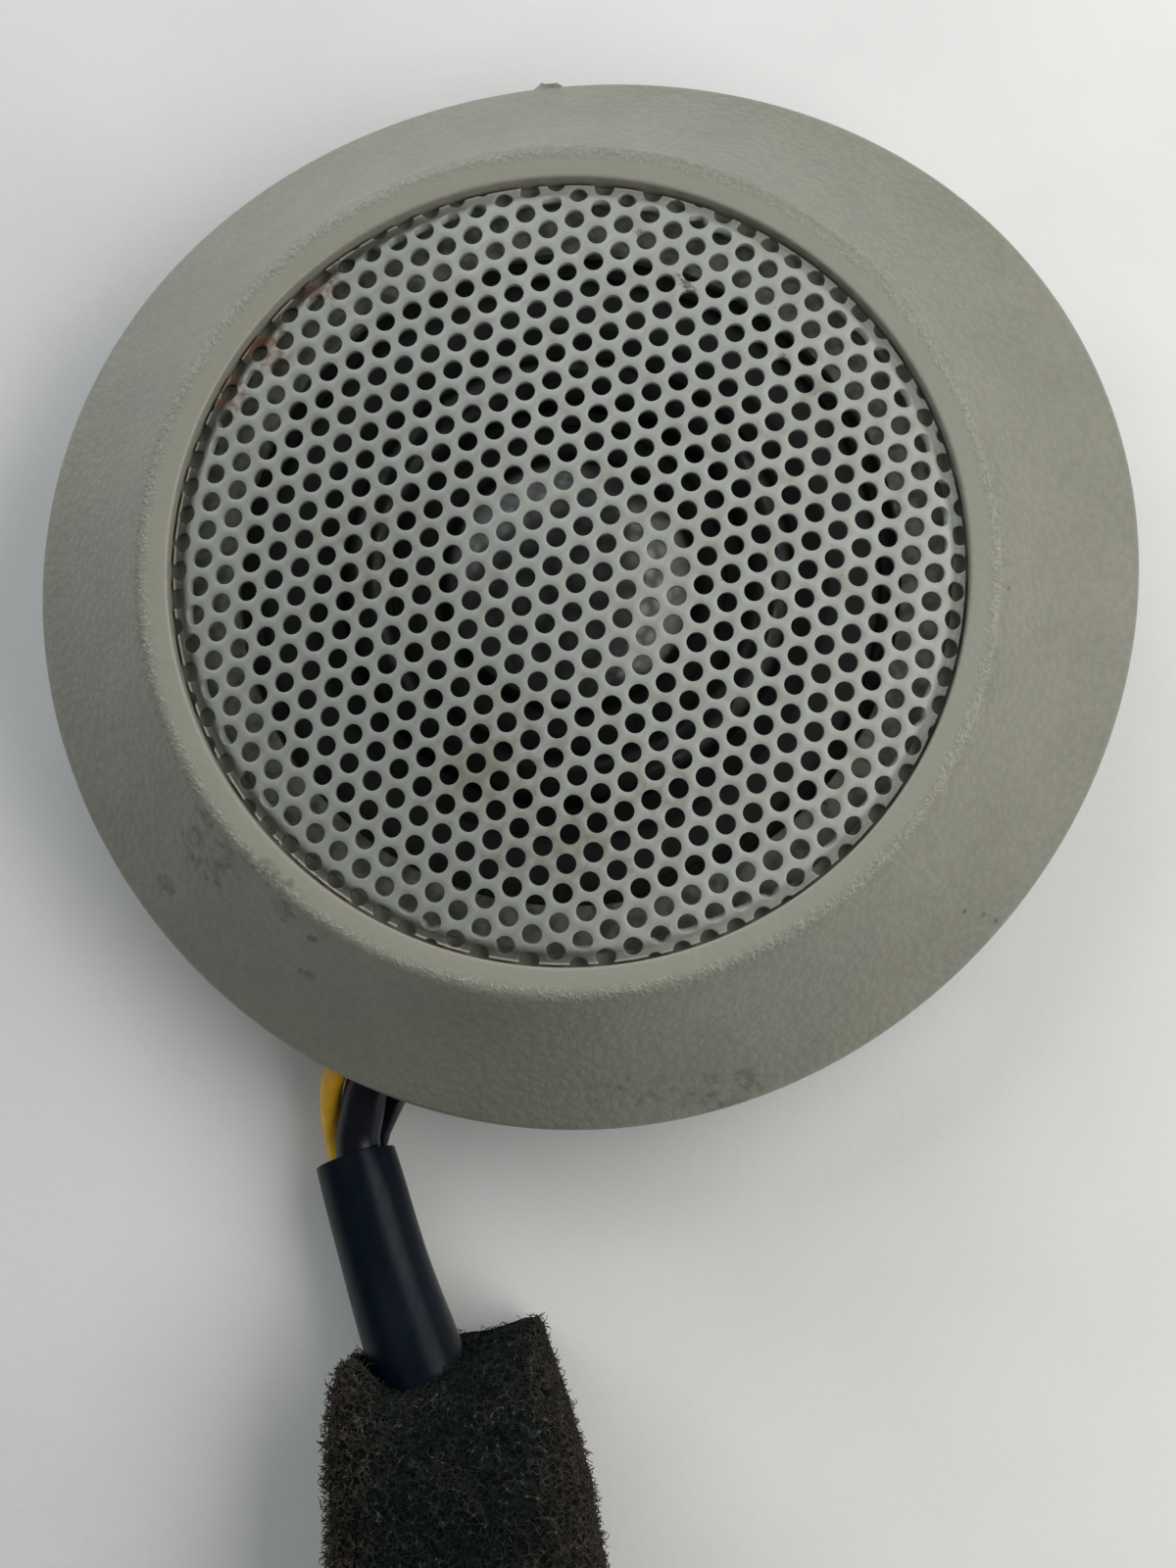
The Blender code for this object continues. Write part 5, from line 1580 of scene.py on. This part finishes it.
@dataclass
class Driver:
    """Loudspeaker driver behind the grille: moving parts, basket, motor, terminals and screws."""

    flange: tuple[float, float] = (0.0185, 0.0200)
    flange_reach: float = 0.0420
    mouth: float = 0.0247
    floor: tuple[float, float] = (0.0129, 0.0144)
    floor_reach: float = 0.0213
    floor_bore: float = 0.0099
    window_heights: tuple[float, float] = (0.0150, 0.0180)
    window_half: float = math.radians(17.0)
    roll_reach: float = 0.0214
    roll_radius: float = 0.0030
    rubber: float = 0.0005
    surround_foot: float = 0.0203
    surround_span: tuple[float, float] = (0.0168, 0.0275)
    spider_span: tuple[float, float] = (0.0081, 0.0210)
    spider_foot: float = 0.0147
    spider_waves: int = 7
    board: tuple[float, float] = (0.0310, 0.0410)
    board_width: float = 0.0150
    board_heights: tuple[float, float] = (0.0170, 0.0182)
    tab_laterals: tuple[float, ...] = (-0.0039, 0.0, 0.0039)
    tab: tuple[float, float] = (0.0365, 0.0450)
    tab_width: float = 0.0024
    tab_heights: tuple[float, float] = (0.0162, 0.0167)
    screw_head: tuple[float, float, float] = (0.0023, 0.0169, 0.0182)
    screw_tip: float = 0.0227
    tinsel_radius: float = 0.0004
    tinsel_lateral: float = 0.0030
    tinsel_heights: tuple[float, float] = (0.0176, 0.0171)
    cone_curve: Section = (
        (0.0081, 0.0162), (0.0100, 0.0170), (0.0125, 0.0180), (0.0150, 0.01895), (0.0165, 0.0195), (0.0184, 0.0195),
    )
    cone_wall: float = 0.0005
    # Dust cap: radius, foot, rise and wall
    cap: tuple[float, float, float, float] = (0.0140, 0.0193, 0.0042, 0.0004)
    side_wall: float = 0.0012
    basket_wall: float = 0.0014
    basket_ease: float = 0.00025
    yoke: tuple[float, float] = (0.0185, 0.0030)
    yoke_ease: float = 0.0006
    pole: tuple[float, float] = (0.0070, 0.0126)
    # Rings of the motor: inner and outer radius, foot and top
    magnet: tuple[float, float, float, float] = (0.0113, 0.0200, 0.0033, 0.0093)
    plate: tuple[float, float, float, float] = (0.0091, 0.0185, 0.0096, 0.0126)
    gasket: tuple[float, float, float, float] = (0.0330, 0.0365, 0.0203, 0.0211)
    ring_steps: int = 120
    eyelet: Section = (
        (0.0004, 0.0161), (0.0016, 0.0161), (0.0016, 0.0166), (0.0009, 0.0167), (0.0009, 0.0185), (0.0004, 0.0185),
    )
    eyelet_reach: float = 0.0330
    eyelet_laterals: tuple[float, float] = (-0.0035, 0.0035)
    solder: Point = (0.0019, 0.0012, 0.0008)
    # Screw thread: core radius, depth and ridges
    thread: tuple[float, float, int] = (0.0011, 0.00022, 18)
    # Cross recess: reach, half width and depth
    cross: Point = (0.0011, 0.00022, 0.0008)

    def at_exit(self, radial: float, lateral: float, height: float) -> Vector:
        """Point given along and across the leads' exit direction."""
        return polar(radial, EXIT_ANGLE, height) + polar(lateral, EXIT_ANGLE + math.pi / 2)

    def surround(self) -> None:
        """Makes the rubber half roll between the cone and the flange."""
        inner, outer = self.surround_span
        foot, wall = self.surround_foot, self.rubber
        turns = [math.pi * step / 20 for step in range(21)]
        over = [
            (self.roll_reach - self.roll_radius * math.cos(turn), foot + wall + self.roll_radius * math.sin(turn))
            for turn in turns
        ]
        thin = self.roll_radius - wall
        under = [
            (self.roll_reach + thin * math.cos(turn), foot + thin * math.sin(turn)) for turn in turns
        ]
        section = [(inner, foot), (inner, foot + wall), *over, (outer, foot + wall), (outer, foot), *under]
        piece = publish("surround_roll", lathe(section, 144), Wear.RUBBER, ["surround"], None, 50.0)
        flex(piece)

    def cone(self) -> None:
        """Makes the paper cone and its dust cap."""
        front = [(reach, height + self.cone_wall) for reach, height in self.cone_curve]
        paper = lathe([*front, *self.cone_curve[::-1]], self.ring_steps)
        publish("paper_cone", paper, Wear.PAPER, ["cone"], Body.DIAPHRAGM, 60.0)
        edge, foot, rise, wall = self.cap
        turns = [math.pi / 2 * step / 24 for step in range(25)]
        outside = [(edge * math.sin(turn), foot + rise * math.cos(turn)) for turn in turns]
        inside = [((edge - wall) * math.sin(turn), foot + (rise - wall) * math.cos(turn)) for turn in turns[::-1]]
        dome = lathe([*outside, *inside], 96, closed=False)
        publish("dust_cap_dome", dome, Wear.CAP, ["dust_cap"], Body.DIAPHRAGM, 60.0)

    def spider(self) -> None:
        """Makes the corrugated centring ring."""
        inner, outer = self.spider_span
        count = self.spider_waves * 8
        line = []
        for step in range(count + 1):
            share = step / count
            lift = 0.00025 * (1 - math.cos(math.tau * self.spider_waves / 2 * share))
            line.append((outer + (inner - outer) * share, self.spider_foot + lift))
        section = [(reach, height + 0.0003) for reach, height in line] + line[::-1]
        piece = publish("spider_cloth_ring", lathe(section, 96), Wear.CLOTH, ["spider"], None, 60.0)
        flex(piece)

    def basket(self) -> None:
        """Makes the basket with its windows."""
        middle, low = sum(self.flange) / 2, sum(self.floor) / 2
        top, foot = self.mouth + self.side_wall / 2, self.floor_reach + self.side_wall / 2
        side = [(top + (foot - top) * step / 8, middle + (low - middle) * step / 8) for step in range(9)]
        section = [(self.flange_reach - 0.0001, middle), *side, (self.floor_bore, low)]
        bm = lathe(section, 144, closed=False)
        gone = []
        sill, lintel = self.window_heights
        for face in bm.faces:
            centre = face.calc_center_median()
            turn = (math.atan2(centre.y, centre.x) - EXIT_ANGLE + math.pi / 4) % (math.pi / 2) - math.pi / 4
            if abs(turn) < self.window_half and sill < centre.z < lintel:
                gone.append(face)
        bmesh.ops.delete(bm, geom=gone, context="FACES")
        piece = publish("basket_frame", bm, Wear.BASKET, ["basket"])
        thick = piece.modifiers.new("wall", "SOLIDIFY")
        thick.thickness = self.basket_wall
        thick.offset = 0.0
        ease = piece.modifiers.new("ease", "BEVEL")
        ease.width = self.basket_ease
        ease.segments = 2
        ease.limit_method = "ANGLE"

    def motor(self) -> None:
        """Makes the yoke, the ring magnet, the top plate and the gasket."""
        reach, thick = self.yoke
        pole, top = self.pole
        ease = self.yoke_ease
        front = eased([(reach, 0.0), (reach, thick), (pole, thick), (pole, top)], ease, 4, closed=False)
        back = [(0.0, 0.00025), (0.0038, 0.00025), (0.0041, 0.0), (reach - ease, 0.0), (reach, ease)]
        yoke = lathe([*back, *front[1:], (0.0, top)], self.ring_steps, closed=False)
        publish("yoke_plate", yoke, Wear.ZINC, ["yoke"])
        for name, ring, ease, wear, slot, node in (
            ("ring_magnet", self.magnet, 0.0005, Wear.FERRITE, Slot.FERRITE, "magnet"),
            ("front_pole_plate", self.plate, 0.0004, Wear.ZINC, Slot.STEEL, "top_plate"),
            ("gasket_ring", self.gasket, 0.0003, Wear.GASKET, Slot.GASKET, "gasket"),
        ):
            inner, outer, foot, top = ring
            section = eased([(outer, foot), (outer, top), (inner, top), (inner, foot)], ease)
            publish(name, lathe(section, self.ring_steps), wear, [node])

    def terminals(self) -> None:
        """Makes the terminal board, its eyelets, its tabs and their solder."""
        inner, outer = self.board
        low, high = self.board_heights
        bm = bmesh.new()
        centre = self.at_exit((inner + outer) / 2, 0.0, (low + high) / 2)
        add_block(bm, centre, (outer - inner, self.board_width, high - low), EXIT_ANGLE, 0.0002)
        publish("terminal_strip", bm, Wear.BOARD, ["terminal_board"])
        for number, lateral in enumerate(self.eyelet_laterals, 1):
            bm = lathe(eased(self.eyelet, 0.0002), 24)
            bmesh.ops.translate(bm, vec=self.at_exit(self.eyelet_reach, lateral, 0.0), verts=bm.verts[:])
            publish(f"eyelet_{number}", bm, Wear.TINNED, [f"terminal_rivet_{number}"])
        start, end = self.tab
        foot, top = self.tab_heights
        for number, lateral in enumerate(self.tab_laterals, 1):
            bm = bmesh.new()
            middle = self.at_exit((start + end) / 2, lateral, (foot + top) / 2)
            add_block(bm, middle, (end - start, self.tab_width, top - foot), EXIT_ANGLE)
            upright = [edge for edge in bm.edges if abs((edge.verts[0].co - edge.verts[1].co).normalized().z) > 0.9]
            soften(bm, upright, 0.0007, 4)
            blob = bmesh.ops.create_uvsphere(bm, u_segments=20, v_segments=12, radius=1.0)["verts"]
            size = Matrix.Diagonal((*self.solder, 1.0))
            place = Matrix.Translation(self.at_exit(end - 0.0010, lateral, foot))
            bmesh.ops.transform(bm, matrix=place @ Matrix.Rotation(EXIT_ANGLE, 4, "Z") @ size, verts=blob)
            for vert in blob:
                vert.co += 0.00012 * noise.noise_vector(vert.co * 1400)
            publish(f"solder_tab_{number}", bm, Wear.TINNED, [f"terminal_tab_{number}"], sharp=50.0)

    def tinsel(self) -> None:
        """Makes the flexible leads from the board to the cone."""
        height = (self.floor[0] + self.flange[0]) / 2
        start, highest = self.tinsel_heights
        inner = self.board[0] - 0.0003
        joint = (self.cone_curve[0][0] + self.cone_curve[4][0]) / 2
        for name, node, side in (("tinsel_left", "tinsel_lead_left", -1), ("tinsel_right", "tinsel_lead_right", 1)):
            _, box_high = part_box(node)
            lateral = side * self.tinsel_lateral
            top = box_high[2] - self.tinsel_radius
            route = (
                tuple(self.at_exit(inner, lateral, start)),
                tuple(self.at_exit((inner + self.mouth) / 2, lateral, height)),
                tuple(self.at_exit(self.floor_reach, lateral, height)),
                tuple(self.at_exit(joint, lateral, min(top, highest))),
            )
            bm = bmesh.new()
            path = rounded_route(route, 0.0003)
            add_tube(bm, path, lambda share: self.tinsel_radius * (1 - 0.12 * math.cos(share * 120)), 12)
            settle(bm)
            piece = publish(name, bm, Wear.TINSEL, [node], None)
            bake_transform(piece)

    def screws(self) -> None:
        """Makes the four pan-head screws with their cross recesses."""
        reach, low, high = self.screw_head
        core, depth, count = self.thread
        rise = self.screw_tip - 0.0006 - high
        threads = [(core + depth * (step % 2), high + 0.0003 + rise * step / count) for step in range(count)]
        head = [(reach * 0.55, low), (reach, low + 0.0007), (reach, high), (core, high)]
        section = [(0.0, low), *eased(head, 0.0004, 4, closed=False), *threads, (0.0, self.screw_tip)]
        for number, angle in enumerate(SCREW_ANGLES, 1):
            bm = lathe(section, 32, closed=False)
            self.sink_cross(bm, low)
            bmesh.ops.translate(bm, vec=polar(SCREW_REACH, angle), verts=bm.verts[:])
            publish(f"screw_{number}", bm, Wear.SCREW, [f"driver_screw_{number}"])

    def sink_cross(self, bm: Mesh, face: float) -> None:
        """Sinks a cross recess into a screw head.

        Args:
            bm: Screw on the upright axis.
            face: Height of the head's outer face.
        """
        reach, half, depth = self.cross
        for turn in (0.0, math.pi / 2):
            normal = polar(1.0, turn)
            for place in (-half, -reach, half, reach):
                cap = [part for part in bm.faces if part.calc_center_median().z < face + 1e-5]
                bmesh.ops.bisect_plane(bm, geom=rimmed(cap), dist=1e-7, plane_co=normal * place, plane_no=normal)
        sunk = []
        for part in bm.faces:
            centre = part.calc_center_median()
            near, far = sorted((abs(centre.x), abs(centre.y)))
            if centre.z <= face + 1e-5 and near < half and far < reach:
                sunk.append(part)
        made = bmesh.ops.extrude_face_region(bm, geom=sunk)["geom"]
        bmesh.ops.delete(bm, geom=sunk, context="FACES")
        moved = [part for part in made if isinstance(part, bmesh.types.BMVert)]
        bmesh.ops.translate(bm, vec=UP * depth, verts=moved)
        bmesh.ops.recalc_face_normals(bm, faces=bm.faces[:])

    def build(self) -> None:
        """Makes the driver's pieces and dresses the nodes that stay."""
        self.surround()
        self.cone()
        self.spider()
        self.basket()
        self.motor()
        self.terminals()
        self.tinsel()
        self.screws()
        dress_node("coil_former", Wear.FORMER)
        dress_node("coil_winding", Wear.COPPER)


def main() -> None:
    """Builds the studio, then the loudspeaker from its cords inwards."""
    logging.basicConfig(level=logging.INFO, format="%(name)s: %(message)s")
    noise.seed_set(NOISE_SEED)
    studio = Studio()
    studio.camera()
    Pigtail().build()
    studio.floor()
    studio.light()
    for assembly in (Bezel(), Grille(), Driver()):
        assembly.build()
        LOG.info("%s is built", type(assembly).__name__)


if __name__ == "__main__":
    main()
